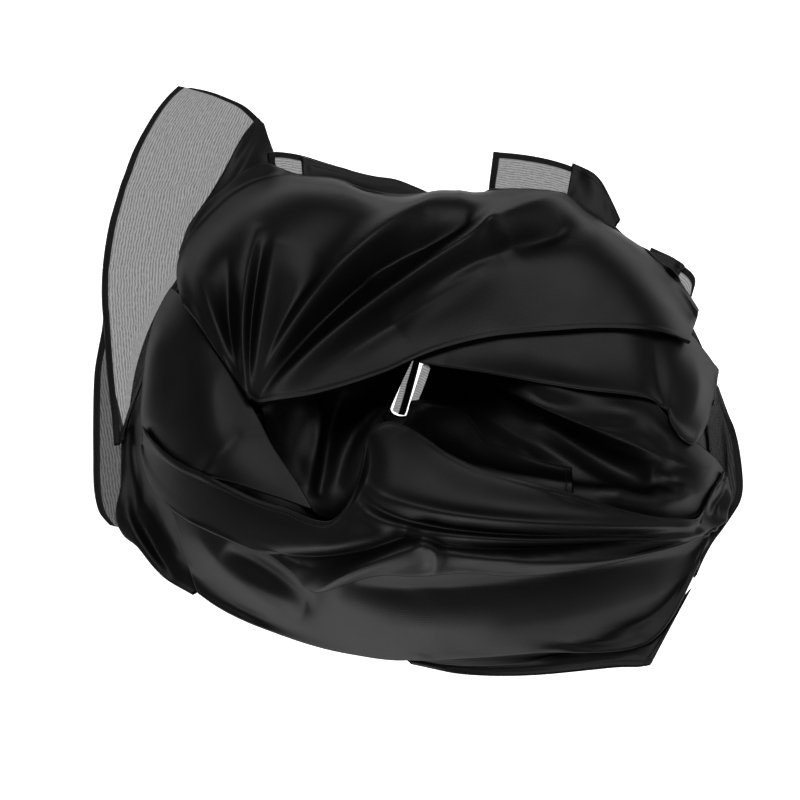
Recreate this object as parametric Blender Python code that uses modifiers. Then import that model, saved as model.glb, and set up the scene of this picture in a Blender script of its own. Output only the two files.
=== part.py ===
"""A black silk scarf heaped in a loose ring, with narrow hems and two loose corners.

Lengths are in millimetres here and in metres in the mesh. X runs to the right, Y to the back and Z up.
"""

import math

import bpy
import numpy as np
from mathutils.bvhtree import BVHTree

NAME = "silk_scarf"

# The cloth and its hem.
CLOTH_THICK = 1.2
HEM_THICK = 2.2
HEM_WIDTH = 5.5
LAYER_STEP = 2.2
FIRST_LAYER = 1.2
SEAM_GAP = 0.6
REST_GAP = 0.6
MOST_DROP = 6.0
SEAT_ROUNDS = 10

# Places are measured across and up a board that leans back from upright, as an eye square to it sees them.
BOARD_LEAN = math.radians(30)
BOARD_UP = math.cos(BOARD_LEAN)
BOARD_OVER = math.sin(BOARD_LEAN)
EYE_DISTANCE = 2200.0
TALLEST = 110.0
SEEK_STEP = 0.5

# A rise that stands for the foot behind the heap, and how much wider a place is there than it looks.
BACK_FOOT = 999.0
BACK_SPREAD = 1.03

# The middle of the whole scarf's plan, which stands at the origin.
MIDDLE = (12.0, 28.0, 0.0)

# The hollow's centre and the level there of the cloth that spans it.
HOLLOW_X = 6.0
HOLLOW_Y = 8.0
SPAN_HEIGHT = 44.0

# The ring of the heap, going round from the right: turn, crest radius, crest height, foot radius, hollow radius.
RING = (
    (0, 148, 52, 215, 15),
    (30, 126, 57, 198, 18),
    (60, 98, 60, 176, 25),
    (90, 76, 58, 144, 23),
    (120, 100, 61, 190, 14),
    (150, 120, 59, 188, 8),
    (180, 124, 57, 193, 7),
    (210, 138, 58, 206, 11),
    (240, 134, 60, 203, 23),
    (270, 126, 62, 208, 22),
    (300, 146, 60, 228, 14),
    (330, 160, 53, 237, 13),
)
FLANK_ROUND = 2.5

# The keel of the open middle: x, y, half width, height.
KEEL = (
    (-90, -84, 46, 28),
    (-46, -74, 58, 18),
    (6, 8, 62, -3),
    (62, -42, 50, 20),
    (128, -70, 44, 28),
    (186, -86, 34, 36),
    (226, -88, 20, 42),
)
KEEL_STEPS = 60
KEEL_POWER = 3.0
KEEL_RISE = 52.0

# The solid middle: turns and stations from the hollow out to the foot.
CORE_TURNS = 48
CORE_STATIONS = 14
CORE_FOOT = 4.0
CORE_LIPS = 3
LIP_REACH = 1.6
LIP_EDGE = 0.25
LIP_BACK = 0.75
LIP_FOOT = 0.6

# The field of tops that each wall settles on, and how that settling goes.
GRID_STEP = 1.5
GRID_HALF = 320.0
COVER_SLACK = 0.02
MOST_UPRIGHT = 6.0
SETTLE_ROUNDS = 12
SETTLE_SLACK = 0.01
LEAST_SHARE = 0.25
EASE_ROUNDS = 4

# How finely a wall is measured from edge to edge, and the line of a fold.
FINE_STEPS = 61
FOLD_STEPS = 24
MOST_HEM_SHARE = 0.4


def periodic(table, column, turns):
    """A column of the ring table at any turn, through smooth cubic steps."""
    values = np.array([row[column] for row in table], float)
    place = np.mod(turns, 360.0) / (360.0 / len(values))
    low = np.floor(place).astype(int)
    part = place - low
    before, here, after, later = (values[(low + k) % len(values)] for k in (-1, 0, 1, 2))
    return here + 0.5 * part * (
        after - before
        + part * (2 * before - 5 * here + 4 * after - later + part * (3 * (here - after) + later - before))
    )


def smooth_rows(rows, places):
    """Rows of numbers read at places from 0 to 1, through smooth cubic steps."""
    rows = np.array(rows, float)
    ends = np.vstack([2 * rows[0] - rows[1], rows, 2 * rows[-1] - rows[-2]])
    place = np.clip(np.asarray(places, float), 0, 1) * (len(rows) - 1)
    low = np.minimum(np.floor(place).astype(int), len(rows) - 2)
    part = (place - low)[:, None]
    before, here, after, later = (ends[low + k] for k in (0, 1, 2, 3))
    return here + 0.5 * part * (
        after - before
        + part * (2 * before - 5 * here + 4 * after - later + part * (3 * (here - after) + later - before))
    )


KEEL_LINE = smooth_rows(KEEL, np.linspace(0, 1, KEEL_STEPS))


def roof(x, y, grow=0.0):
    """Height of the heap with its middle spanned."""
    dx = x - HOLLOW_X
    dy = y - HOLLOW_Y
    radius = np.hypot(dx, dy)
    turns = np.degrees(np.arctan2(dy, dx))
    crest = periodic(RING, 1, turns)
    height = periodic(RING, 2, turns)
    foot = periodic(RING, 3, turns) + grow
    inward = np.clip(radius / crest, 0, 1)
    dished = SPAN_HEIGHT + (height - SPAN_HEIGHT) * inward**2 * (3 - 2 * inward)
    outward = np.clip((radius - crest) / (foot - crest), 0, 1)
    return (dished + grow) * (1 - outward**FLANK_ROUND)


def trough(x, y, grow=0.0):
    """Height of the open middle, deepest along its keel."""
    gap = np.hypot(x[..., None] - KEEL_LINE[:, 0], y[..., None] - KEEL_LINE[:, 1])
    rise = KEEL_LINE[:, 3] + KEEL_RISE * (gap / KEEL_LINE[:, 2]) ** KEEL_POWER
    return rise.min(axis=-1) + grow


def heap(x, y, grow=0.0):
    """Height of the heap with its middle open."""
    return np.maximum(np.minimum(roof(x, y, grow), trough(x, y, grow)), 0.0)


def place_on(form, grow, across, rise):
    """The plan point of the form that is met first at a place on the board."""
    across = np.asarray(across, float)
    rise = np.asarray(rise, float)
    x = np.zeros(across.shape)
    y = np.zeros(across.shape)
    seeking = np.ones(across.shape, bool)
    for height in np.arange(TALLEST, -SEEK_STEP, -SEEK_STEP):
        reach = EYE_DISTANCE - BOARD_UP * height
        at_y = (rise * reach - BOARD_OVER * EYE_DISTANCE * height) / (BOARD_UP * EYE_DISTANCE - BOARD_OVER * rise)
        at_x = across * (reach + BOARD_OVER * at_y) / EYE_DISTANCE
        x[seeking] = at_x[seeking]
        y[seeking] = at_y[seeking]
        seeking &= form(at_x, at_y, grow) < height
    behind = rise >= BACK_FOOT
    if behind.any():
        x[behind] = across[behind] * BACK_SPREAD
        y[behind] = 0
        for back in np.arange(GRID_HALF, 0, -SEEK_STEP):
            y[behind & (y == 0) & (roof(x, np.full(x.shape, back), grow) > 0)] = back
    return x, y


def seen_from_eye(points):
    """Where points show on the board."""
    x, y, z = points[..., 0], points[..., 1], points[..., 2]
    nearer = EYE_DISTANCE / (EYE_DISTANCE + BOARD_OVER * y - BOARD_UP * z)
    return x * nearer, (BOARD_UP * y + BOARD_OVER * z) * nearer


FOLD_SCALE = 1.5

# Folds, as columns: start across and rise, middle across and rise, end across and rise,
# width on the left and right of that direction, and height at the start, middle and end.
BACK_FOLDS = (
    (-103, 0, -134, 32, -152, 62, 12, 12, -3, -5, -3),
    (-103, 2, -120, 22, -136, 36, 9, 9, 2, 4, 3),
    (-106, 6, -114, 20, -124, 36, 6, 6, -2, -4, -2),
    (-106, 4, -112, 62, -101, 112, 12, 10, 2, 6, 4),
    (-104, 4, -105, 38, -96, 108, 9, 14, 1, 4, 5),
    (-103, 8, -92, 44, -76, 66, 8, 14, -3, -6, -4),
    (-104, 2, -72, 60, -10, 116, 14, 17, 3, 9, 8),
    (-10, 116, 12, 130, 42, 138, 14, 14, 8, 7, 3),
    (-28, 92, 2, 112, 42, 136, 7, 7, -3, -5, -2),
    (-96, 4, -50, 42, 20, 92, 15, 14, 2, 6, 5),
    (20, 92, 72, 128, 140, 140, 16, 18, 5, 6, 4),
    (-94, 0, -35, 38, 32, 84, 7, 7, -2, -4, -4),
    (32, 84, 64, 110, 112, 130, 10, 10, -4, -4, -1),
    (0, 46, 42, 66, 98, 98, 22, 22, 1, 4, 3),
)
LOBE_FOLDS = (
    (30, 24, 60, 22, 110, 10, 12, 9, 1, 3, 2),
    (110, 10, 150, 6, 184, 4, 12, 9, 2, 5, 5),
    (166, 40, 168, 20, 172, -4, 8, 12, 1, 3, 4),
    (202, 30, 206, 8, 200, -16, 9, 10, 1, 2, 1),
)
INNER_RIGHT_FOLDS = (
    (36, 20, 98, -4, 212, -50, 14, 12, 3, 7, 3),
    (48, 16, 100, -22, 174, -60, 9, 11, -3, -6, -2),
    (42, -2, 92, -36, 150, -68, 12, 12, 2, 5, 3),
    (186, -48, 176, -56, 184, -70, 8, 8, 1, 3, 1),
    (148, -66, 176, -72, 210, -66, 8, 7, 1, 3, 1),
)
INNER_LEFT_FOLDS = (
    (-64, -2, -62, -30, -64, -64, 7, 10, 3, 7, 3),
    (-40, -2, -48, -30, -56, -64, 7, 7, -2, -5, -3),
    (-14, -8, -30, -24, -44, -60, 7, 8, 2, 5, 2),
    (-8, 8, -22, 2, -30, -16, 7, 7, -1, -4, -2),
)
LEFT_FOLDS = (
    (-115, -28, -128, -42, -135, -50, 5, 8, 1, 2, 2),
    (-170, 44, -172, 20, -176, -10, 12, 14, 2, 4, 3),
    (-120, 30, -130, 0, -122, -34, 20, 20, 1, 3, 2),
)
BAND_FOLDS = (
    (-76, -84, -52, -92, -34, -84, 10, 8, 2, 6, 3),
    (-88, -110, -54, -105, -10, -93, 5, 5, -2, -4, -3),
    (-66, -118, -20, -112, 28, -98, 9, 9, 3, 6, 4),
    (20, -84, 70, -82, 128, -94, 9, 9, 4, 7, 4),
    (128, -94, 168, -98, 208, -86, 8, 7, 4, 6, 4),
    (10, -96, 84, -99, 160, -100, 6, 6, -3, -6, -3),
    (56, -108, 128, -102, 190, -99, 9, 8, 3, 7, 4),
    (190, -99, 222, -88, 229, -60, 7, 7, 4, 5, 2),
    (12, -94, 26, -104, 26, -116, 7, 5, 2, 6, 3),
    (-24, -26, -22, -56, -38, -80, 9, 7, 3, 6, 2),
    (8, -20, 40, -48, 96, -66, 12, 12, 1, 4, 2),
)
BODY_FOLDS = (
    (-138, -104, -98, -128, -63, -146, 11, 14, 2, 6, 3),
    (-70, -134, -58, -140, -40, -128, 7, 7, -3, -7, -4),
    (20, -116, 90, -120, 190, -104, 11, 14, -3, -6, -3),
    (-40, -150, 56, -160, 176, -136, 22, 26, 2, 5, 3),
    (40, -130, 110, -134, 190, -116, 8, 8, 1, 3, 2),
    (-120, -104, -104, -112, -84, -124, 7, 7, -2, -4, -2),
)
EDGE_FOLDS = (
    (-208, 40, -206, -20, -196, -84, 8, 6, 1, 3, 2),
    (-182, -86, -172, -104, -160, -122, 7, 7, -2, -4, -2),
    (-190, -70, -186, -94, -168, -118, 7, 6, 1, 4, 2),
)
CORNER_LEFT_FOLDS = (
    (-192, 150, -176, 143, -150, 146, 4, 8, 1, 4, 4),
    (-98, 192, -128, 150, -152, 106, 6, 9, 2, 6, 4),
    (-206, 84, -190, 90, -158, 96, 10, 12, 1, 3, 2),
    (-168, 196, -146, 180, -112, 176, 14, 14, 1, 3, 2),
)
CORNER_FOLD_FOLDS = ((-96, 186, -118, 142, -142, 112, 7, 7, 1, 3, 2),)
CORNER_RIGHT_FOLDS = (
    (128, 158, 136, 150, 142, 138, 8, 9, 1, 4, 2),
    (64, 158, 62, 148, 60, 140, 6, 6, 1, 3, 2),
)
SKIRT_FOLDS = ((20, -184, 90, -182, 168, -172, 9, 7, 1, 3, 2),)
NO_FOLDS = ()

# Hidden folds on the far flank: turn, width in turn, height at the crest and at the foot.
FAR_FOLDS = (
    (36, 6, 2, 2),
    (50, 5, 3, 2),
    (64, 7, 2, 2),
    (81, 5, 3, 2),
    (95, 6, 2, 2),
    (108, 4, 3, 2),
    (124, 6, 2, 2),
)
FAR_START = 0.35

# Each stretch, a row for each section: across and rise of one edge, then of the other.
FLOOR_LEFT_ROWS = (
    (7, 27, -5, -10),
    (10, 28, -2, -11.5),
    (14, 28, 3, -12.5),
)
FLOOR_RIGHT_ROWS = (
    (17, 26, 6, -9),
    (19, 25, 9, -8),
    (22, 23, 13, -6),
)
CORNER_LEFT_ROWS = (
    (-155, 219, -144, 217.5),
    (-165, 209, -128, 213.5),
    (-176, 193, -106, 203),
    (-186, 174, -92, 182),
    (-194, 152, -90, 158),
    (-203, 122, -116, 130),
    (-208, 82, -146, 92),
    (-206, 42, -164, 52),
    (-203, 7, -178, 14),
    (-200, -20, -190, -19),
    (-199, -36, -193, -35),
)
CORNER_FOLD_ROWS = (
    (-99, 194, -95, 191),
    (-107, 182, -89, 170),
    (-120, 158, -87, 150),
    (-136, 131, -108, 130),
    (-150, 106, -128, 106),
    (-154, 94, -136, 86),
)
EDGE_LEFT_ROWS = (
    (-168, 66, -206, 74),
    (-166, 24, -211, 22),
    (-168, -20, -212, -28),
    (-164, -56, -212, -75),
    (-156, -76, -202, -89),
    (-150, -98, -182, -105.7),
    (-143, -119, -164, -125),
    (-136, -133, -143, -138),
)
CORNER_RIGHT_ROWS = (
    (65.8, 173, 60, 138),
    (84, 171, 80, 136),
    (106, 167, 106, 136),
    (126, 160, 130, 134),
    (140, 150, 146, 130),
    (146, 142, 152, 123),
)
LOOP_RIGHT_ROWS = (
    (176, 104, 168, 96),
    (192, 96, 178, 86),
    (203, 89, 184, 76),
    (206.5, 81, 190, 68),
    (202, 68, 196, 60),
)
BACK_STRIP_ROWS = (
    (-92, 169, -91, 154),
    (-83, 171, -82, 150),
    (-70, 170, -70, 148),
    (-56, 166, -56, 147),
    (-42, 162, -43, 145),
)
OUTER_RIGHT_ROWS = (
    (212, 22, 222, 6),
    (214, -7, 228, -10),
    (216, -28, 235, -28),
    (218, -46, 239, -55),
    (217, -63, 237.5, -72),
    (212, -80, 228, -88),
    (203, -98, 216, -105),
    (192, -112, 206, -126),
)
SKIRT_ROWS = (
    (-4, -174, 8, -186),
    (28, -176, 40, -192),
    (70, -174, 84, -193),
    (112, -172, 122, -190.5),
    (150, -167, 152, -187),
    (184, -150, 168, -186.5),
    (204, -132, 175, -185.5),
)
FRONT_BODY_ROWS = (
    (-161, -76, -141, -137),
    (-146, -80, -124, -148),
    (-124, -90, -101, -159),
    (-98, -102, -70, -170),
    (-76, -114, -35, -179),
    (-54, -120, 2, -184),
    (-24, -114, 30, -184),
    (14, -113, 63, -180),
    (56, -111, 101, -179),
    (98, -112, 140, -178),
    (140, -107, 168, -173),
    (175, -101, 184, -161),
    (200, -94, 197, -141),
    (214, -86, 209, -117),
    (222, -78, 216, -104),
)
LEFT_BAND_ROWS = (
    (-160, 76, -112, 12),
    (-168, 60, -105, -2),
    (-173, 35, -97, -17),
    (-176, 10, -90, -31),
    (-178, -14, -80, -46),
    (-179, -32, -70, -61),
    (-174, -52, -62, -76),
)
FRONT_BAND_ROWS = (
    (-179, -21, -181, -37),
    (-167, -35, -176, -59),
    (-147, -48, -160, -77),
    (-122, -59, -136, -91),
    (-97, -70, -112, -101),
    (-77, -76, -91, -111),
    (-60, -83.5, -76, -121),
    (-46, -83, -62, -133),
    (-34, -70, -38, -128),
    (-27, -49, -15, -122),
    (-22, -25, 6, -122),
    (-10, -15.5, 28, -121),
    (8, -21, 49, -120),
    (32, -39, 74, -122),
    (63, -53, 102, -121),
    (102, -63, 133, -117),
    (140, -74, 168, -109),
    (175, -82, 198, -101),
    (204, -82, 218, -90),
    (217, -72, 227, -76),
    (222, -58, 231, -64),
)
INNER_RIGHT_ROWS = (
    (28, 33, 16, -9),
    (38, 35, 35, -18),
    (63, 28, 56, -35),
    (91, 21, 80, -52),
    (119, 15, 108, -66),
    (147, 12, 140, -78),
    (172, 6, 168, -84),
    (190, -18, 190, -85),
    (210, -35, 206, -84),
    (225, -53, 221, -70),
)
INNER_HEM_ROWS = (
    (8, -5, 2, -18),
    (20, -4, 13, -28),
    (32, -5.5, 28, -42),
    (44, -10, 41, -49),
    (53, -20, 52, -56),
    (62, -31.5, 64, -60),
    (78, -40, 83, -64),
    (98, -49, 102, -70),
    (119, -54, 120, -74),
)
INNER_LEFT_ROWS = (
    (-104, 4, -76, -62),
    (-86, 10, -60, -80),
    (-66, 14, -44, -84),
    (-46, 20, -31, -68),
    (-27, 26, -23, -48),
    (-10, 33, -16, -28),
    (5, 34, -9, -15),
)
RIGHT_LOBE_ROWS = (
    (14, 28, 10, 35),
    (31, 25, 35, 46),
    (63, 19, 63, 55),
    (98, 11, 98, 60),
    (133, 6, 133, 62),
    (164, 3.5, 164, 62),
    (185, -3, 184, 59),
    (193, -22, 202, 49),
    (206, -32, 213, 35),
    (214, -17, 219, 25),
    (220, -2, 222, 19),
)
BACK_BAND_ROWS = (
    (-105, -1, -153, 66),
    (-102, -2, -155, 90),
    (-98, -3, -141, 118),
    (-92, -2, -118, 141),
    (-84, -1, -95, 157),
    (-70, 1.5, -76, 153),
    (-54, 5, -52, BACK_FOOT),
    (-34, 11, -18, BACK_FOOT),
    (-10, 19, 16, BACK_FOOT),
    (14, 30, 44, BACK_FOOT),
    (38, 38, 75, BACK_FOOT),
    (70, 45, 110, BACK_FOOT),
    (105, 48, 142, BACK_FOOT),
    (140, 50, 170, BACK_FOOT),
    (174, 48, 192, BACK_FOOT),
    (202, 40, 205, BACK_FOOT),
)

# Stretches from the lowest up, as columns: name, rows, form it lies on, layer, steps along, steps across,
# folds, whether it has the folds of the far flank, and hemmed edges (start, end, near, far).
STRETCHES = (
    ("floor_layer_left", FLOOR_LEFT_ROWS, heap, 0, 3, 5, NO_FOLDS, False, "end"),
    ("floor_layer_right", FLOOR_RIGHT_ROWS, heap, 0, 3, 5, NO_FOLDS, False, ""),
    ("edge_left", EDGE_LEFT_ROWS, roof, 0, 14, 4, EDGE_FOLDS, False, "far"),
    ("corner_back_left", CORNER_LEFT_ROWS, roof, 1, 16, 7, CORNER_LEFT_FOLDS, False, "near"),
    ("corner_back_left_fold", CORNER_FOLD_ROWS, roof, 2, 8, 4, CORNER_FOLD_FOLDS, False, ""),
    ("corner_back_right", CORNER_RIGHT_ROWS, roof, 0, 8, 5, CORNER_RIGHT_FOLDS, False, "start near"),
    ("loop_right", LOOP_RIGHT_ROWS, roof, 0, 7, 4, NO_FOLDS, False, "near"),
    ("back_strip", BACK_STRIP_ROWS, roof, 1, 7, 4, NO_FOLDS, False, "near"),
    ("outer_right", OUTER_RIGHT_ROWS, roof, 0, 12, 3, NO_FOLDS, False, "far"),
    ("front_skirt", SKIRT_ROWS, roof, 0, 12, 3, SKIRT_FOLDS, False, "end far"),
    ("inner_left", INNER_LEFT_ROWS, heap, 0, 12, 9, INNER_LEFT_FOLDS, False, ""),
    ("inner_right", INNER_RIGHT_ROWS, heap, 0, 15, 10, INNER_RIGHT_FOLDS, False, ""),
    ("inner_hem_layer", INNER_HEM_ROWS, heap, 1, 12, 4, NO_FOLDS, False, "near end"),
    ("left_band", LEFT_BAND_ROWS, roof, 2, 10, 10, LEFT_FOLDS, False, ""),
    ("front_body", FRONT_BODY_ROWS, roof, 1, 22, 9, BODY_FOLDS, False, ""),
    ("front_band", FRONT_BAND_ROWS, roof, 3, 34, 8, BAND_FOLDS, False, "near"),
    ("right_lobe", RIGHT_LOBE_ROWS, roof, 2, 16, 6, LOBE_FOLDS, False, "end"),
    ("back_band", BACK_BAND_ROWS, roof, 3, 26, 15, BACK_FOLDS, True, "near"),
)


def path_of(points):
    """A smooth line through three points."""
    share = np.linspace(0, 1, FOLD_STEPS)[:, None]
    start, middle, end = (np.array(p, float) for p in points)
    control = 2 * middle - (start + end) / 2
    return (1 - share) ** 2 * start + 2 * share * (1 - share) * control + share**2 * end


def fold_height(row, across, rise):
    """Height that one fold adds at places on the board."""
    line = path_of((row[0:2], row[2:4], row[4:6]))
    at = np.stack([across, rise], -1)[..., None, :]
    start = line[:-1]
    step = line[1:] - start
    length = (step**2).sum(-1)
    share = np.clip(((at - start) * step).sum(-1) / length, 0, 1)
    off = at - (start + share[..., None] * step)
    gap = np.hypot(off[..., 0], off[..., 1])
    near = gap.argmin(-1)
    pick = np.take_along_axis
    gap = pick(gap, near[..., None], -1)[..., 0]
    part = (near + pick(share, near[..., None], -1)[..., 0]) / len(step)
    off = pick(off, near[..., None, None], -2)[..., 0, :]
    side = step[near][..., 0] * off[..., 1] - step[near][..., 1] * off[..., 0]
    width = np.where(side > 0, row[6], row[7])
    height = row[8] * (1 - part) ** 2 + 4 * row[9] * part * (1 - part) + row[10] * part**2
    height = height - 0.5 * (row[8] + row[10]) * 2 * part * (1 - part)
    return height * np.exp(-((gap / width) ** 2))


def far_height(x, y):
    """Height of the pleats on the far flank, growing towards the foot."""
    dx = x - HOLLOW_X
    dy = y - HOLLOW_Y
    radius = np.hypot(dx, dy)
    turns = np.degrees(np.arctan2(dy, dx))
    crest = periodic(RING, 1, turns)
    foot = periodic(RING, 3, turns)
    share = np.clip((radius - crest) / (foot - crest), 0, 1)
    total = np.zeros_like(x)
    for turn, width, crest_height, foot_height in FAR_FOLDS:
        grown = crest_height * (1 - share) + foot_height * share
        shown = np.clip(share - FAR_START, 0, 1) / (1 - FAR_START)
        total += grown * shown * np.exp(-(((turns - turn) / width) ** 2))
    return total


def with_hem(places, width, hem_at_start, hem_at_end):
    """Adds a grid line one hem width inside a hemmed edge."""
    share = min(HEM_WIDTH / max(width, 1.0), MOST_HEM_SHARE)
    places = list(places)
    if hem_at_start:
        places = [0.0] + [share + (1 - share) * p for p in places]
    if hem_at_end:
        places = [(1 - share) * p for p in places] + [1.0]
    return np.array(places)


def normals_of(points):
    """Upward normals of a grid of points."""
    faces = np.cross(points[1:, 1:] - points[:-1, :-1], points[:-1, 1:] - points[1:, :-1])
    faces /= np.maximum(np.linalg.norm(faces, axis=-1, keepdims=True), 1e-9)
    normal = np.zeros(points.shape)
    for part in (normal[:-1, :-1], normal[1:, :-1], normal[:-1, 1:], normal[1:, 1:]):
        part += faces
    normal /= np.maximum(np.linalg.norm(normal, axis=-1, keepdims=True), 1e-9)
    return normal * np.where(normal[..., 2:] < 0, -1, 1)


def stretch_points(rows, form, layer, along, over, folds, far, hems):
    """The grid of points through the middle of one stretch, before it settles, and the hem's grid mask."""
    grow = FIRST_LAYER + LAYER_STEP * layer
    rows = np.array(rows, float)
    long_way = np.hypot(*np.diff(rows[:, :2], axis=0).T).sum()
    short_way = np.hypot(rows[:, 0] - rows[:, 2], np.minimum(rows[:, 3], TALLEST) - rows[:, 1]).max()
    words = hems.split()
    u = with_hem(np.linspace(0, 1, along + 1), long_way, "start" in words, "end" in words)
    v = with_hem(np.linspace(0, 1, over + 1), short_way, "near" in words, "far" in words)
    near = smooth_rows(np.stack(place_on(form, grow, rows[:, 0], rows[:, 1]), -1), u)
    far_edge = smooth_rows(np.stack(place_on(form, grow, rows[:, 2], rows[:, 3]), -1), u)
    fine = np.linspace(0, 1, FINE_STEPS)
    flat = near[:, None] + (far_edge - near)[:, None] * fine[None, :, None]
    height = form(flat[..., 0], flat[..., 1], grow)
    steps = np.hypot(np.linalg.norm(np.diff(flat, axis=1), axis=-1), np.diff(height, axis=1))
    run = np.concatenate([np.zeros((len(u), 1)), np.cumsum(steps, 1)], 1)
    points = np.empty((len(u), len(v), 3))
    for k in range(len(u)):
        share = np.interp(v, run[k] / run[k, -1], fine)
        points[k, :, :2] = near[k] + (far_edge[k] - near[k]) * share[:, None]
    points[..., 2] = form(points[..., 0], points[..., 1], grow)
    across, rise = seen_from_eye(points)
    lift = np.zeros(across.shape)
    for row in folds:
        lift += FOLD_SCALE * fold_height(row, across, rise)
    if far:
        lift += far_height(points[..., 0], points[..., 1])
    points += normals_of(points) * lift[..., None]
    hem = np.zeros(across.shape, bool)
    if "start" in words:
        hem[:2] = True
    if "end" in words:
        hem[-2:] = True
    if "near" in words:
        hem[:, :2] = True
    if "far" in words:
        hem[:, -2:] = True
    return points, hem


def grid_faces(rows, columns):
    """Triangles of a grid of points."""
    index = np.arange(rows * columns).reshape(rows, columns)
    a, b, c, d = index[:-1, :-1], index[1:, :-1], index[1:, 1:], index[:-1, 1:]
    return np.concatenate([np.stack([a, b, c], -1).reshape(-1, 3), np.stack([a, c, d], -1).reshape(-1, 3)])


def cells_under(triangle):
    """Grid cells under one triangle, with the share of each corner."""
    low = np.floor((triangle[:, :2].min(0) + GRID_HALF) / GRID_STEP).astype(int)
    high = np.ceil((triangle[:, :2].max(0) + GRID_HALF) / GRID_STEP).astype(int)
    i, j = np.meshgrid(np.arange(low[0], high[0] + 1), np.arange(low[1], high[1] + 1), indexing="ij")
    x = i * GRID_STEP - GRID_HALF
    y = j * GRID_STEP - GRID_HALF
    (ax, ay), (bx, by), (cx, cy) = triangle[:, :2]
    area = (bx - ax) * (cy - ay) - (cx - ax) * (by - ay)
    if abs(area) < 1e-9:
        return None
    q = ((x - ax) * (cy - ay) - (cx - ax) * (y - ay)) / area
    r = ((bx - ax) * (y - ay) - (x - ax) * (by - ay)) / area
    inside = (q >= -COVER_SLACK) & (r >= -COVER_SLACK) & (q + r <= 1 + COVER_SLACK)
    if not inside.any():
        return None
    shares = np.stack([1 - q[inside] - r[inside], q[inside], r[inside]], -1)
    return i[inside], j[inside], shares


def upright(triangle):
    """How much thicker a sloping wall is when measured straight up."""
    normal = np.cross(triangle[1] - triangle[0], triangle[2] - triangle[0])
    return min(np.linalg.norm(normal) / max(abs(normal[2]), 1e-6), MOST_UPRIGHT)


def add_top(top, points, faces, half):
    """Raises the field of tops to this surface, and to one cell beyond its edge."""
    own = np.full(top.shape, -1.0)
    for face in faces:
        found = cells_under(points[face])
        if found is None:
            continue
        i, j, shares = found
        level = shares @ points[face, 2] + half[face].max() * upright(points[face])
        own[i, j] = np.maximum(own[i, j], level)
    spread = own.copy()
    for axis in (0, 1):
        for step in (-1, 1):
            spread = np.maximum(spread, np.roll(own, step, axis))
    own = np.where(own < 0, spread, own)
    return np.maximum(top, own)


def settle(top, points, faces, half):
    """Raises points until their surface clears everything below it."""
    flat = points.reshape(-1, 3).copy()
    for axis in (0, 1):
        top = np.maximum(top, np.maximum(np.roll(top, 1, axis), np.roll(top, -1, axis)))
    spots = []
    for face in faces:
        found = cells_under(flat[face])
        if found is not None:
            i, j, shares = found
            below = top[i, j]
            need = np.where(below > 0, below + (half[face].max() + SEAM_GAP) * upright(flat[face]), 0.0)
            if (need > 0).any():
                spots.append((face, shares, need))
    for _ in range(SETTLE_ROUNDS):
        raised = np.zeros(len(flat))
        for face, shares, need in spots:
            short = need - shares @ flat[face, 2]
            worst = short.argmax()
            if short[worst] > SETTLE_SLACK:
                weight = shares[worst]
                pull = np.maximum(weight, LEAST_SHARE) / (weight**2).sum()
                raised[face] = np.maximum(raised[face], short[worst] * pull)
        if raised.max() <= SETTLE_SLACK:
            break
        flat[:, 2] += raised
    for face, shares, need in spots:
        short = (need - shares @ flat[face, 2]).max()
        if short > 0:
            flat[face, 2] += short
    rise = (flat[:, 2] - points.reshape(-1, 3)[:, 2]).reshape(points.shape[:2])
    for _ in range(EASE_ROUNDS):
        padded = np.pad(rise, 1, mode="edge")
        around = (padded[:-2, 1:-1] + padded[2:, 1:-1] + padded[1:-1, :-2] + padded[1:-1, 2:]) / 4
        rise = np.maximum(rise, around)
    flat[:, 2] = np.maximum(points.reshape(-1, 3)[:, 2] + rise.reshape(-1), half)
    return flat.reshape(points.shape)


def wall_tree(points, half):
    """The closed skin of one wall, for finding what it meets."""
    rows, columns = points.shape[:2]
    reach = normals_of(points) * half.reshape(rows, columns)[..., None]
    faces = grid_faces(rows, columns)
    both = np.concatenate([(points + reach).reshape(-1, 3), (points - reach).reshape(-1, 3)])
    index = np.arange(rows * columns).reshape(rows, columns)
    rim = np.concatenate([index[0], index[1:, -1], index[-1, -2::-1], index[-2:0:-1, 0]])
    after = np.roll(rim, -1)
    under = rows * columns
    sides = [np.stack([rim, after, after + under], -1), np.stack([rim, after + under, rim + under], -1)]
    skin = np.concatenate([faces, faces + under] + sides)
    return BVHTree.FromPolygons(both.tolist(), skin.tolist())


def seat(points, half, laid):
    """Lowers a wall until it rests a small gap above what was laid before it."""
    least, most = 0.0, MOST_DROP
    for _ in range(SEAT_ROUNDS):
        drop = (least + most) / 2
        lowered = points.copy()
        lowered[..., 2] = np.maximum(points[..., 2] - drop, half.reshape(points.shape[:2]))
        tree = wall_tree(lowered, half + REST_GAP)
        if any(tree.overlap(other) for other in laid):
            most = drop
        else:
            least = drop
    seated = points.copy()
    seated[..., 2] = np.maximum(points[..., 2] - least, half.reshape(points.shape[:2]))
    return seated


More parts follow.
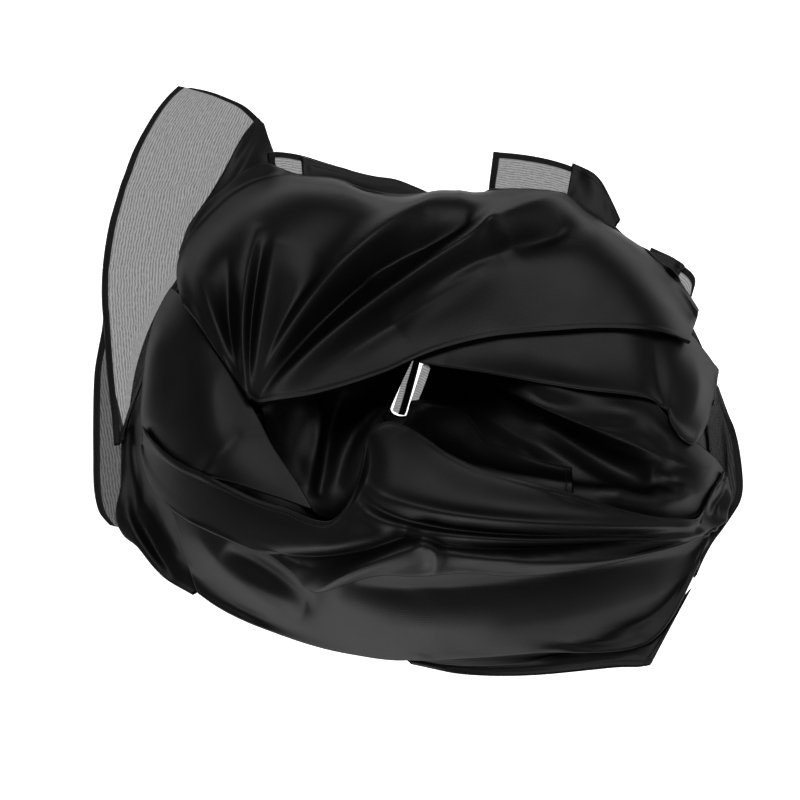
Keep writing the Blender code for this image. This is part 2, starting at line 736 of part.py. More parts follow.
def core_grid():
    """Rings of the solid middle from the hollow's floor out to its foot."""
    turns = np.arange(CORE_TURNS) * 360.0 / CORE_TURNS
    hollow = periodic(RING, 4, turns)
    foot = periodic(RING, 3, turns)
    rings = []
    cos = np.cos(np.radians(turns))
    sin = np.sin(np.radians(turns))
    for k in range(CORE_STATIONS):
        share = k / (CORE_STATIONS - 1)
        radius = hollow + (foot - CORE_FOOT - hollow) * share
        x = HOLLOW_X + radius * cos
        y = HOLLOW_Y + radius * sin
        rings.append(np.stack([x, y, np.maximum(heap(x, y), CORE_FOOT)], -1))
    top_height = rings[-1][:, 2]
    for lip in range(CORE_LIPS):
        for reach, drop in ((LIP_REACH, LIP_EDGE), (0.0, LIP_BACK)):
            level = top_height * (1 - (lip + drop) / (CORE_LIPS + LIP_FOOT))
            radius = foot - CORE_FOOT * (1 - (lip + drop) / CORE_LIPS) + reach
            rings.append(np.stack([HOLLOW_X + radius * cos, HOLLOW_Y + radius * sin, level], -1))
    for radius in (foot, hollow):
        rings.append(np.stack([HOLLOW_X + radius * cos, HOLLOW_Y + radius * sin, np.zeros(CORE_TURNS)], -1))
    return np.array(rings)


def ring_faces(rings, turns, closed):
    """Quads between rings, joined last to first when closed."""
    faces = []
    for k in range(rings if closed else rings - 1):
        for t in range(turns):
            after = (t + 1) % turns
            nxt = (k + 1) % rings
            faces.append((k * turns + t, nxt * turns + t, nxt * turns + after, k * turns + after))
    return faces


def material_for(name):
    """A plain black satin for one piece."""
    material = bpy.data.materials.new(name + "_satin")
    material.use_nodes = True
    shader = material.node_tree.nodes["Principled BSDF"]
    shader.inputs["Base Color"].default_value = (0.012, 0.012, 0.014, 1)
    shader.inputs["Roughness"].default_value = 0.42
    return material


def add_object(collection, name, points, faces):
    """A mesh object from points in millimetres."""
    mesh = bpy.data.meshes.new(name)
    metres = (np.asarray(points, float) - MIDDLE) / 1000
    mesh.from_pydata(metres.tolist(), [], [tuple(int(i) for i in face) for face in faces])
    mesh.polygons.foreach_set("use_smooth", [True] * len(mesh.polygons))
    mesh.materials.append(material_for(name))
    mesh.update()
    obj = bpy.data.objects.new(name, mesh)
    collection.objects.link(obj)
    return obj


def add_stretch(collection, name, points, hem):
    """One stretch of cloth, given its thickness by a Solidify."""
    rows, columns = hem.shape
    index = np.arange(rows * columns).reshape(rows, columns)
    quads = np.stack([index[:-1, :-1], index[1:, :-1], index[1:, 1:], index[:-1, 1:]], -1).reshape(-1, 4)
    a, b, d = (points.reshape(-1, 3)[quads[:, k]] for k in (0, 1, 3))
    if np.cross(b - a, d - a)[:, 2].sum() < 0:
        quads = quads[:, ::-1]
    obj = add_object(collection, name, points.reshape(-1, 3), quads)
    group = obj.vertex_groups.new(name="hem")
    group.add([int(i) for i in index[hem]], 1.0, "REPLACE")
    solid = obj.modifiers.new("thickness", "SOLIDIFY")
    solid.thickness = HEM_THICK / 1000
    solid.offset = 0
    solid.vertex_group = "hem"
    solid.thickness_vertex_group = CLOTH_THICK / HEM_THICK
    return obj


def main():
    for obj in list(bpy.data.objects):
        bpy.data.objects.remove(obj)
    collection = bpy.data.collections.new(NAME)
    bpy.context.scene.collection.children.link(collection)
    rings = core_grid()
    add_object(collection, "inner_layers", rings.reshape(-1, 3), ring_faces(len(rings), CORE_TURNS, True))
    cells = int(2 * GRID_HALF / GRID_STEP) + 1
    top = np.full((cells, cells), -1.0)
    quads = np.array(ring_faces(CORE_STATIONS + 2 * CORE_LIPS, CORE_TURNS, False))
    triangles = np.concatenate([quads[:, [0, 1, 2]], quads[:, [0, 2, 3]]])
    top = add_top(top, rings.reshape(-1, 3), triangles, np.zeros(len(rings) * CORE_TURNS))
    laid = [BVHTree.FromPolygons(rings.reshape(-1, 3).tolist(), quads.tolist())]
    for name, rows, form, layer, along, over, folds, far, hems in STRETCHES:
        points, hem = stretch_points(rows, form, layer, along, over, folds, far, hems)
        faces = grid_faces(*hem.shape)
        half = np.where(hem, HEM_THICK, CLOTH_THICK).reshape(-1) / 2
        points = seat(settle(top, points, faces, half), half, laid)
        laid.append(wall_tree(points, half))
        top = add_top(top, points.reshape(-1, 3), faces, half)
        add_stretch(collection, name, points, hem)


main()
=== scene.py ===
import math

import bpy
import numpy as np
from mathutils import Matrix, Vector
from mathutils.bvhtree import BVHTree


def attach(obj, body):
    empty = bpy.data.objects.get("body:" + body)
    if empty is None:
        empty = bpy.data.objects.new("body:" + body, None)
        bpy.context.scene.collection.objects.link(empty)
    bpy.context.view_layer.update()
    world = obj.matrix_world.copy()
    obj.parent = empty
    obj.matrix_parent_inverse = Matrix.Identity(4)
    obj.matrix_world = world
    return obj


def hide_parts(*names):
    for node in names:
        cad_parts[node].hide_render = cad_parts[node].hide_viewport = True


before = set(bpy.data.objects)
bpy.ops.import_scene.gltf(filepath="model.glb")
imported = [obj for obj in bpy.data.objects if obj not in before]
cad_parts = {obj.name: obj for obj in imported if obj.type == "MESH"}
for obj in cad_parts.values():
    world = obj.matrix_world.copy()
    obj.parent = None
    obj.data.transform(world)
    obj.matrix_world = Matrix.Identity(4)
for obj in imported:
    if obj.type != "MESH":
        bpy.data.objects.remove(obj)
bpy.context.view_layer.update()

# The sizes that the solids were laid out with.
CLOTH_THICK = 1.2
HEM_THICK = 2.2
HEM_WIDTH = 5.5
LAYER_STEP = 2.2
FIRST_LAYER = 1.2
MOST_HEM_SHARE = 0.4
FINE_STEPS = 61
FOLD_STEPS = 24

# The cloth as it shows: a thin shell, its hem, the seam's groove, and the round of an edge that turns under.
SHELL = 0.6
HEM_SHELL = 1.4
HEM_SHOWN = 4.8
HEM_RAMP = 0.6
GROOVE = 0.5
GROOVE_WIDTH = 0.45
TURN_RADIUS = 1.0
TURN_ANGLES = (36, 72, 108, 144, 180)
TURN_RUNS = (1.5, 3.5)
TURN_REACH = 4.0

# The fine grid: its step, fewest steps and least width, and its lines at a hem. One of them has the stitches.
STEP = 2.0
FEWEST_STEPS = 4
LEAST_WIDTH = 2.0
HEM_LINES = (0.0, 0.5, 1.2, 2.2, 3.1, 3.7, 4.1, 4.5, 5.2, 6.2)
MOST_LINES_SHARE = 0.45
STITCH_LINE = 6

# How a shell comes to rest: its room above what lies below, the rounds of easing, and the least upright part
# of a normal that a thickness is divided by, for a solid and for a shell.
CLEAR = 0.4
WIDEN_ROUNDS = 2
EASE_ROUNDS = 14
SMOOTH_ROUNDS = 3
OFFSET_ROUNDS = 3
SOLID_UPRIGHT = 0.2
SHELL_UPRIGHT = 0.35
FLOOR = 0.02

# Lines fall straight down from one height. A share of a step moves them inwards, more so at an edge.
RAY_TOP = 300.0
DOWN = Vector((0, 0, -1))
EDGE_INWARD = 0.15
POINT_INWARD = 0.04

# Waves of slack cloth: height, count, length, bend and sway of a wave, the length of a full one, and what
# their sum is divided by.
RIPPLE = 0.35
WAVES = 7
WAVE_LENGTHS = (26, 80)
WAVE_BENDS = (0.004, 0.012)
WAVE_SWAY = 12
FULL_WAVE = 60
WAVE_SUM = 3

# Stitches of the hem. The profile's columns are the place along a stitch and the width there, as shares.
STITCH_PITCH = 2.6
STITCH_LONG = 1.7
STITCH_THICK = 0.42
STITCH_SIDES = 6
STITCH_PROFILE = ((-0.5, 0.35), (-0.3, 0.9), (0.3, 0.9), (0.5, 0.35))

# Places are measured across and up a board that leans back from upright, as an eye square to it sees them.
BOARD_LEAN = math.radians(30)
BOARD_UP = math.cos(BOARD_LEAN)
BOARD_OVER = math.sin(BOARD_LEAN)
EYE_DISTANCE = 2200.0
TALLEST = 110.0
FARTHEST = 320.0
SEEK_STEP = 0.5

# A rise that stands for the foot behind the heap, and how much wider a place is there than it looks.
BACK_FOOT = 999.0
BACK_SPREAD = 1.03

# The middle of the whole scarf's plan, which stands at the origin.
MIDDLE = (12.0, 28.0, 0.0)

# The hollow's centre and the level there of the cloth that spans it.
HOLLOW_X = 6.0
HOLLOW_Y = 8.0
SPAN_HEIGHT = 44.0

# The ring of the heap, going round from the right, as columns: turn, crest radius, crest height, foot radius,
# hollow radius.
RING = (
    (0, 148, 52, 215, 15),
    (30, 126, 57, 198, 18),
    (60, 98, 60, 176, 25),
    (90, 76, 58, 144, 23),
    (120, 100, 61, 190, 14),
    (150, 120, 59, 188, 8),
    (180, 124, 57, 193, 7),
    (210, 138, 58, 206, 11),
    (240, 134, 60, 203, 23),
    (270, 126, 62, 208, 22),
    (300, 146, 60, 228, 14),
    (330, 160, 53, 237, 13),
)
FLANK_ROUND = 2.5

# The keel of the open middle: x, y, half width, height.
KEEL = (
    (-90, -84, 46, 28),
    (-46, -74, 58, 18),
    (6, 8, 62, -3),
    (62, -42, 50, 20),
    (128, -70, 44, 28),
    (186, -86, 34, 36),
    (226, -88, 20, 42),
)
KEEL_STEPS = 60
KEEL_POWER = 3.0
KEEL_RISE = 52.0


def cubic(before, here, after, later, part):
    """A part of the smooth cubic step from here to after."""
    bend = 2 * before - 5 * here + 4 * after - later + part * (3 * (here - after) + later - before)
    return here + 0.5 * part * (after - before + part * bend)


def ring_at(turns):
    """Crest radius, crest height, foot radius and hollow radius of the ring at any turn."""
    values = np.array(RING, float)[:, 1:]
    place = np.mod(turns, 360.0) / (360.0 / len(values))
    low = np.floor(place).astype(int)
    steps = (values[(low + k) % len(values)] for k in (-1, 0, 1, 2))
    return np.moveaxis(cubic(*steps, (place - low)[..., None]), -1, 0)


def smooth_rows(rows, places):
    """Rows of numbers read at places from 0 to 1, through smooth cubic steps."""
    rows = np.array(rows, float)
    ends = np.vstack([2 * rows[0] - rows[1], rows, 2 * rows[-1] - rows[-2]])
    place = np.clip(np.asarray(places, float), 0, 1) * (len(rows) - 1)
    low = np.minimum(np.floor(place).astype(int), len(rows) - 2)
    steps = (ends[low + k] for k in (0, 1, 2, 3))
    return cubic(*steps, (place - low)[:, None])


KEEL_LINE = smooth_rows(KEEL, np.linspace(0, 1, KEEL_STEPS))


def from_hollow(x, y):
    """Distance and turn of places from the hollow's centre."""
    dx = x - HOLLOW_X
    dy = y - HOLLOW_Y
    return np.hypot(dx, dy), np.degrees(np.arctan2(dy, dx))


def roof(x, y, grow=0.0):
    """Height of the heap with its middle spanned."""
    radius, turns = from_hollow(x, y)
    crest, height, foot, _ = ring_at(turns)
    inward = np.clip(radius / crest, 0, 1)
    dished = SPAN_HEIGHT + (height - SPAN_HEIGHT) * inward**2 * (3 - 2 * inward)
    outward = np.clip((radius - crest) / (foot + grow - crest), 0, 1)
    return (dished + grow) * (1 - outward**FLANK_ROUND)


def trough(x, y, grow=0.0):
    """Height of the open middle, deepest along its keel."""
    gap = np.hypot(x[..., None] - KEEL_LINE[:, 0], y[..., None] - KEEL_LINE[:, 1])
    rise = KEEL_LINE[:, 3] + KEEL_RISE * (gap / KEEL_LINE[:, 2]) ** KEEL_POWER
    return rise.min(axis=-1) + grow


def heap(x, y, grow=0.0):
    """Height of the heap with its middle open."""
    return np.maximum(np.minimum(roof(x, y, grow), trough(x, y, grow)), 0.0)


def place_on(form, grow, across, rise):
    """The plan point of the form that is met first at a place on the board."""
    across = np.asarray(across, float)
    rise = np.asarray(rise, float)
    x = np.zeros(across.shape)
    y = np.zeros(across.shape)
    seeking = np.ones(across.shape, bool)
    lean = BOARD_UP * EYE_DISTANCE - BOARD_OVER * rise
    for height in np.arange(TALLEST, -SEEK_STEP, -SEEK_STEP):
        reach = EYE_DISTANCE - BOARD_UP * height
        at_y = (rise * reach - BOARD_OVER * EYE_DISTANCE * height) / lean
        at_x = across * (reach + BOARD_OVER * at_y) / EYE_DISTANCE
        x[seeking] = at_x[seeking]
        y[seeking] = at_y[seeking]
        seeking &= form(at_x, at_y, grow) < height
    behind = rise >= BACK_FOOT
    if behind.any():
        x[behind] = across[behind] * BACK_SPREAD
        y[behind] = 0
        for back in np.arange(FARTHEST, 0, -SEEK_STEP):
            y[behind & (y == 0) & (roof(x, np.full(x.shape, back), grow) > 0)] = back
    return x, y


def seen_from_eye(points):
    """Where points show on the board."""
    x, y, z = points[..., 0], points[..., 1], points[..., 2]
    nearer = EYE_DISTANCE / (EYE_DISTANCE + BOARD_OVER * y - BOARD_UP * z)
    return x * nearer, (BOARD_UP * y + BOARD_OVER * z) * nearer


# What a fold's height is multiplied by, and how sharp its crest is, in the solids and as it shows.
FOLD_SCALE = 1.5
SHOWN_SCALE = 1.5
SOLID_CREST = 2.0
SHOWN_CREST = 1.6

# Folds, as columns: start across and rise, middle across and rise, end across and rise,
# width on the left and right of that direction, and height at the start, middle and end.
BACK_FOLDS = (
    (-103, 0, -134, 32, -152, 62, 12, 12, -3, -5, -3),
    (-103, 2, -120, 22, -136, 36, 9, 9, 2, 4, 3),
    (-106, 6, -114, 20, -124, 36, 6, 6, -2, -4, -2),
    (-106, 4, -112, 62, -101, 112, 12, 10, 2, 6, 4),
    (-104, 4, -105, 38, -96, 108, 9, 14, 1, 4, 5),
    (-103, 8, -92, 44, -76, 66, 8, 14, -3, -6, -4),
    (-104, 2, -72, 60, -10, 116, 14, 17, 3, 9, 8),
    (-10, 116, 12, 130, 42, 138, 14, 14, 8, 7, 3),
    (-28, 92, 2, 112, 42, 136, 7, 7, -3, -5, -2),
    (-96, 4, -50, 42, 20, 92, 15, 14, 2, 6, 5),
    (20, 92, 72, 128, 140, 140, 16, 18, 5, 6, 4),
    (-94, 0, -35, 38, 32, 84, 7, 7, -2, -4, -4),
    (32, 84, 64, 110, 112, 130, 10, 10, -4, -4, -1),
    (0, 46, 42, 66, 98, 98, 22, 22, 1, 4, 3),
)
LOBE_FOLDS = (
    (30, 24, 60, 22, 110, 10, 12, 9, 1, 3, 2),
    (110, 10, 150, 6, 184, 4, 12, 9, 2, 5, 5),
    (166, 40, 168, 20, 172, -4, 8, 12, 1, 3, 4),
    (202, 30, 206, 8, 200, -16, 9, 10, 1, 2, 1),
)
INNER_RIGHT_FOLDS = (
    (36, 20, 98, -4, 212, -50, 14, 12, 3, 7, 3),
    (48, 16, 100, -22, 174, -60, 9, 11, -3, -6, -2),
    (42, -2, 92, -36, 150, -68, 12, 12, 2, 5, 3),
    (186, -48, 176, -56, 184, -70, 8, 8, 1, 3, 1),
    (148, -66, 176, -72, 210, -66, 8, 7, 1, 3, 1),
)
INNER_LEFT_FOLDS = (
    (-64, -2, -62, -30, -64, -64, 7, 10, 3, 7, 3),
    (-40, -2, -48, -30, -56, -64, 7, 7, -2, -5, -3),
    (-14, -8, -30, -24, -44, -60, 7, 8, 2, 5, 2),
    (-8, 8, -22, 2, -30, -16, 7, 7, -1, -4, -2),
)
LEFT_FOLDS = (
    (-115, -28, -128, -42, -135, -50, 5, 8, 1, 2, 2),
    (-170, 44, -172, 20, -176, -10, 12, 14, 2, 4, 3),
    (-120, 30, -130, 0, -122, -34, 20, 20, 1, 3, 2),
)
BAND_FOLDS = (
    (-76, -84, -52, -92, -34, -84, 10, 8, 2, 6, 3),
    (-88, -110, -54, -105, -10, -93, 5, 5, -2, -4, -3),
    (-66, -118, -20, -112, 28, -98, 9, 9, 3, 6, 4),
    (20, -84, 70, -82, 128, -94, 9, 9, 4, 7, 4),
    (128, -94, 168, -98, 208, -86, 8, 7, 4, 6, 4),
    (10, -96, 84, -99, 160, -100, 6, 6, -3, -6, -3),
    (56, -108, 128, -102, 190, -99, 9, 8, 3, 7, 4),
    (190, -99, 222, -88, 229, -60, 7, 7, 4, 5, 2),
    (12, -94, 26, -104, 26, -116, 7, 5, 2, 6, 3),
    (-24, -26, -22, -56, -38, -80, 9, 7, 3, 6, 2),
    (8, -20, 40, -48, 96, -66, 12, 12, 1, 4, 2),
)
BODY_FOLDS = (
    (-138, -104, -98, -128, -63, -146, 11, 14, 2, 6, 3),
    (-70, -134, -58, -140, -40, -128, 7, 7, -3, -7, -4),
    (20, -116, 90, -120, 190, -104, 11, 14, -3, -6, -3),
    (-40, -150, 56, -160, 176, -136, 22, 26, 2, 5, 3),
    (40, -130, 110, -134, 190, -116, 8, 8, 1, 3, 2),
    (-120, -104, -104, -112, -84, -124, 7, 7, -2, -4, -2),
)
EDGE_FOLDS = (
    (-208, 40, -206, -20, -196, -84, 8, 6, 1, 3, 2),
    (-182, -86, -172, -104, -160, -122, 7, 7, -2, -4, -2),
    (-190, -70, -186, -94, -168, -118, 7, 6, 1, 4, 2),
)
CORNER_LEFT_FOLDS = (
    (-192, 150, -176, 143, -150, 146, 4, 8, 1, 4, 4),
    (-98, 192, -128, 150, -152, 106, 6, 9, 2, 6, 4),
    (-206, 84, -190, 90, -158, 96, 10, 12, 1, 3, 2),
    (-168, 196, -146, 180, -112, 176, 14, 14, 1, 3, 2),
)
CORNER_FOLD_FOLDS = ((-96, 186, -118, 142, -142, 112, 7, 7, 1, 3, 2),)
CORNER_RIGHT_FOLDS = (
    (128, 158, 136, 150, 142, 138, 8, 9, 1, 4, 2),
    (64, 158, 62, 148, 60, 140, 6, 6, 1, 3, 2),
)
SKIRT_FOLDS = ((20, -184, 90, -182, 168, -172, 9, 7, 1, 3, 2),)

# Folds as they show, where the cloth has finer ones than its solid. The columns are the same.
BACK_SHOWN = (
    (-105, 0, -125, 20, -147, 42, 6, 6, 1, 2, 0),
    (-106, 1, -129, 29, -150, 57, 7, 7, -1, -3, -2),
    (-108, 6, -126, 46, -137, 81, 8, 7, 1, 4, 2),
    (-107, 4, -119, 49, -120, 98, 6, 6, -1, -4, -1),
    (-107, 3, -110, 56, -99, 116, 6, 6, 2, 6, 2),
    (-105, 6, -104, 53, -97, 105, 4, 4, -1, -4, -1),
    (-104, 7, -97, 53, -87, 109, 7, 15, 2, 7, 2),
    (-101, 6, -80, 57, -50, 96, 10, 7, -2, -6, 0),
    (-105, 0, -42, 90, 41, 139, 13, 8, 2, 9, 4),
    (-98, 3, -34, 77, 46, 124, 7, 7, -2, -8, -3),
    (-95, 3, -20, 64, 63, 118, 8, 11, 1, 9, 6),
    (63, 118, 102, 134, 143, 140, 11, 12, 6, 6, 2),
    (-49, 34, 28, 85, 112, 120, 7, 10, 0, -4, -3),
    (-70, 14, 0, 57, 56, 88, 8, 8, 0, -3, 0),
    (-4, 54, 32, 77, 72, 101, 10, 16, 0, 4, 1),
    (78, 108, 104, 120, 140, 122, 12, 12, 0, -3, 0),
)
BAND_SHOWN = (
    (-22, -62, 62, -85, 205, -87, 7, 5, 1, 4, 3),
    (-24, -70, 56, -91, 203, -92, 4, 4, -1, -4, -2),
    (-26, -77, 50, -97, 205, -94, 5, 4, 1, 4, 2),
    (0, -92, 70, -103, 206, -96, 4, 4, -1, -4, -2),
    (24, -104, 130, -112, 222, -84, 7, 7, 2, 6, 3),
    (222, -84, 229, -74, 227, -56, 4, 4, 2, 3, 1),
    (204, -88, 219, -77, 228, -55, 4, 4, -2, -4, -1),
    (-96, -109, -45, -109, 3, -94, 5, 5, -1, -5, -3),
    (-60, -136, -34, -119, 15, -103, 8, 9, 2, 9, 5),
    (15, -100, 25, -106, 24, -118, 5, 5, 3, 3, 1),
    (-24, -26, -22, -56, -38, -80, 9, 7, 2, 5, 2),
    (8, -20, 40, -48, 96, -66, 12, 12, 1, 3, 1),
)
BODY_SHOWN = (
    (-137, -99, -104, -127, -66, -146, 9, 14, 2, 4, 1),
    (-122, -104, -100, -118, -66, -144, 7, 7, 0, -4, -3),
    (-30, -132, 70, -130, 203, -110, 8, 10, -2, -4, -2),
    (-40, -150, 56, -158, 176, -136, 22, 26, 1, 3, 2),
)
LOBE_SHOWN = (
    (30, 24, 110, 8, 190, -2, 12, 9, 0, 4, 0),
    (176, 52, 181, 20, 184, -8, 10, 10, -1, -3, -1),
    (204, 34, 207, 8, 200, -16, 8, 9, 0, 2, 0),
)
FOLDS_SHOWN = {
    "back_band": BACK_SHOWN,
    "front_band": BAND_SHOWN,
    "front_body": BODY_SHOWN,
    "right_lobe": LOBE_SHOWN,
}

# Hidden folds on the far flank: turn, width in turn, height at the crest and at the foot.
FAR_FOLDS = (
    (36, 6, 2, 2),
    (50, 5, 3, 2),
    (64, 7, 2, 2),
    (81, 5, 3, 2),
    (95, 6, 2, 2),
    (108, 4, 3, 2),
    (124, 6, 2, 2),
)
FAR_START = 0.35

# Each stretch, a row for each section: across and rise of one edge, then of the other.
FLOOR_LEFT_ROWS = (
    (7, 27, -5, -10),
    (10, 28, -2, -11.5),
    (14, 28, 3, -12.5),
)
FLOOR_RIGHT_ROWS = (
    (17, 26, 6, -9),
    (19, 25, 9, -8),
    (22, 23, 13, -6),
)
CORNER_LEFT_ROWS = (
    (-155, 219, -144, 217.5),
    (-165, 209, -128, 213.5),
    (-176, 193, -106, 203),
    (-186, 174, -92, 182),
    (-194, 152, -90, 158),
    (-203, 122, -116, 130),
    (-208, 82, -146, 92),
    (-206, 42, -164, 52),
    (-203, 7, -178, 14),
    (-200, -20, -190, -19),
    (-199, -36, -193, -35),
)
CORNER_FOLD_ROWS = (
    (-99, 194, -95, 191),
    (-107, 182, -89, 170),
    (-120, 158, -87, 150),
    (-136, 131, -108, 130),
    (-150, 106, -128, 106),
    (-154, 94, -136, 86),
)
CORNER_RIGHT_ROWS = (
    (65.8, 173, 60, 138),
    (84, 171, 80, 136),
    (106, 167, 106, 136),
    (126, 160, 130, 134),
    (140, 150, 146, 130),
    (146, 142, 152, 123),
)
LOOP_RIGHT_ROWS = (
    (176, 104, 168, 96),
    (192, 96, 178, 86),
    (203, 89, 184, 76),
    (206.5, 81, 190, 68),
    (202, 68, 196, 60),
)
BACK_STRIP_ROWS = (
    (-92, 169, -91, 154),
    (-83, 171, -82, 150),
    (-70, 170, -70, 148),
    (-56, 166, -56, 147),
    (-42, 162, -43, 145),
)
OUTER_RIGHT_ROWS = (
    (212, 22, 222, 6),
    (214, -7, 228, -10),
    (216, -28, 235, -28),
    (218, -46, 239, -55),
    (217, -63, 237.5, -72),
    (212, -80, 228, -88),
    (203, -98, 216, -105),
    (192, -112, 206, -126),
)
SKIRT_ROWS = (
    (-4, -174, 8, -186),
    (28, -176, 40, -192),
    (70, -174, 84, -193),
    (112, -172, 122, -190.5),
    (150, -167, 152, -187),
    (184, -150, 168, -186.5),
    (204, -132, 175, -185.5),
)
FRONT_BODY_ROWS = (
    (-161, -76, -141, -137),
    (-146, -80, -124, -148),
    (-124, -90, -101, -159),
    (-98, -102, -70, -170),
    (-76, -114, -35, -179),
    (-54, -120, 2, -184),
    (-24, -114, 30, -184),
    (14, -113, 63, -180),
    (56, -111, 101, -179),
    (98, -112, 140, -178),
    (140, -107, 168, -173),
    (175, -101, 184, -161),
    (200, -94, 197, -141),
    (214, -86, 209, -117),
    (222, -78, 216, -104),
)
LEFT_BAND_ROWS = (
    (-160, 76, -112, 12),
    (-168, 60, -105, -2),
    (-173, 35, -97, -17),
    (-176, 10, -90, -31),
    (-178, -14, -80, -46),
    (-179, -32, -70, -61),
    (-174, -52, -62, -76),
)
FRONT_BAND_ROWS = (
    (-179, -21, -181, -37),
    (-167, -35, -176, -59),
    (-147, -48, -160, -77),
    (-122, -59, -136, -91),
    (-97, -70, -112, -101),
    (-77, -76, -91, -111),
    (-60, -83.5, -76, -121),
    (-46, -83, -62, -133),
    (-34, -70, -38, -128),
    (-27, -49, -15, -122),
    (-22, -25, 6, -122),
    (-10, -15.5, 28, -121),
    (8, -21, 49, -120),
    (32, -39, 74, -122),
    (63, -53, 102, -121),
    (102, -63, 133, -117),
    (140, -74, 168, -109),
    (175, -82, 198, -101),
    (204, -83, 216, -91),
    (213, -73, 226, -77),
    (221, -61, 230.5, -64),
    (226, -52, 229.5, -53),
)
INNER_RIGHT_ROWS = (
    (26.5, 33, 12, -9),
    (38, 35, 35, -18),
    (63, 28, 56, -35),
    (91, 21, 80, -52),
    (119, 15, 108, -66),
    (147, 12, 140, -78),
    (172, 6, 168, -84),
    (190, -18, 190, -85),
    (210, -35, 206, -84),
    (225, -53, 221, -70),
)
INNER_HEM_ROWS = (
    (8, -5, 2, -18),
    (20, -4, 13, -28),
    (32, -5.5, 28, -42),
    (44, -10, 41, -49),
    (53, -20, 52, -56),
    (62, -31.5, 64, -60),
    (78, -40, 83, -64),
    (98, -49, 102, -70),
    (119, -54, 120, -74),
)
INNER_LEFT_ROWS = (
    (-104, 4, -76, -62),
    (-86, 10, -60, -80),
    (-66, 14, -44, -84),
    (-46, 20, -31, -68),
    (-27, 26, -23, -48),
    (-10, 33, -16, -28),
    (12, 34, -9.5, -14),
)
RIGHT_LOBE_ROWS = (
    (14, 28, 10, 35),
    (31, 25, 35, 46),
    (63, 19, 63, 55),
    (98, 11, 98, 60),
    (133, 6, 133, 62),
    (164, 3.5, 164, 62),
    (185, -3, 184, 59),
    (193, -22, 202, 49),
    (206, -32, 213, 35),
    (214, -17, 219, 25),
    (220, -2, 222, 19),
)
BACK_BAND_ROWS = (
    (-105, -1, -153, 66),
    (-102, -2, -155, 90),
    (-98, -3, -141, 118),
    (-92, -2, -118, 141),
    (-84, -1, -95, 157),
    (-70, 1.5, -76, 153),
    (-54, 5, -52, BACK_FOOT),
    (-34, 11, -18, BACK_FOOT),
    (-10, 19, 16, BACK_FOOT),
    (14, 30, 44, BACK_FOOT),
    (38, 38, 75, BACK_FOOT),
    (70, 45, 110, BACK_FOOT),
    (105, 48, 142, BACK_FOOT),
    (140, 50, 170, BACK_FOOT),
    (174, 48, 192, BACK_FOOT),
    (202, 40, 205, BACK_FOOT),
)


def path_of(points):
    """A smooth line through three points."""
    share = np.linspace(0, 1, FOLD_STEPS)[:, None]
    start, middle, end = (np.array(p, float) for p in points)
    control = 2 * middle - (start + end) / 2
    return (1 - share) ** 2 * start + 2 * share * (1 - share) * control + share**2 * end


def fold_height(row, across, rise, crest):
    """Height that one fold adds at places on the board."""
    line = path_of((row[0:2], row[2:4], row[4:6]))
    at = np.stack([across, rise], -1)[..., None, :]
    start = line[:-1]
    step = line[1:] - start
    length = (step**2).sum(-1)
    share = np.clip(((at - start) * step).sum(-1) / length, 0, 1)
    off = at - (start + share[..., None] * step)
    gap = np.hypot(off[..., 0], off[..., 1])
    near = gap.argmin(-1)
    pick = np.take_along_axis
    gap = pick(gap, near[..., None], -1)[..., 0]
    part = (near + pick(share, near[..., None], -1)[..., 0]) / len(step)
    off = pick(off, near[..., None, None], -2)[..., 0, :]
    side = step[near][..., 0] * off[..., 1] - step[near][..., 1] * off[..., 0]
    side = side / np.maximum(np.sqrt(length[near]) * gap, 1e-9)
    width = row[7] + (row[6] - row[7]) * (0.5 + 0.5 * np.clip(side, -1, 1))
    height = row[8] * (1 - part) ** 2 + 4 * row[9] * part * (1 - part) + row[10] * part**2
    height = height - 0.5 * (row[8] + row[10]) * 2 * part * (1 - part)
    return height * np.exp(-((gap / width) ** crest))


def far_height(x, y):
    """Height of the pleats on the far flank, growing towards the foot."""
    radius, turns = from_hollow(x, y)
    crest, _, foot, _ = ring_at(turns)
    share = np.clip((radius - crest) / (foot - crest), 0, 1)
    total = np.zeros_like(x)
    for turn, width, crest_height, foot_height in FAR_FOLDS:
        grown = crest_height * (1 - share) + foot_height * share
        shown = np.clip(share - FAR_START, 0, 1) / (1 - FAR_START)
        total += grown * shown * np.exp(-(((turns - turn) / width) ** 2))
    return total


# Rows of pieces that show less or more than their solid.
EDGE_OUTER_ROWS = (
    (-205, 70, -206.5, 72),
    (-203, 49, -208, 49),
    (-202, 17, -213, 20),
    (-196, -10, -214, -10),
    (-190, -40, -214, -40),
    (-187, -66, -213.5, -63),
    (-184, -84, -210, -79),
    (-184, -95, -203, -88),
)
EDGE_INNER_ROWS = (
    (-158, 56, -170, 52),
    (-162, 30, -176, 26),
    (-166, 8, -181.5, 12),
    (-168, -15, -188.5, -12),
    (-168, -36, -193.5, -36),
    (-166, -56, -193, -62),
    (-160, -74, -198, -88),
    (-152, -96, -184, -104),
    (-144, -117, -166, -123),
    (-137, -132, -144, -136),
)
STRIP_FOLD_ROWS = (
    (-68, 167, -66, 145),
    (-56, 164, -54, 141),
    (-40, 160.5, -38, 135),
    (-18, 155.4, -18, 129),
    (2, 152, 2, 127),
    (21, 143, 21, 126),
    (39, 138, 38, 124),
)
CORNER_DOUBLED_ROWS = (
    (121, 164, 116, 138),
    (132, 158.5, 118, 132),
    (141, 150, 121, 128),
    (147, 140, 126, 121),
    (154, 126, 134, 112),
)
LOOP_DOUBLED_ROWS = (
    (176, 105, 168, 92),
    (184, 101, 176, 86),
    (192, 97, 183, 82),
    (198, 92, 189, 80),
)

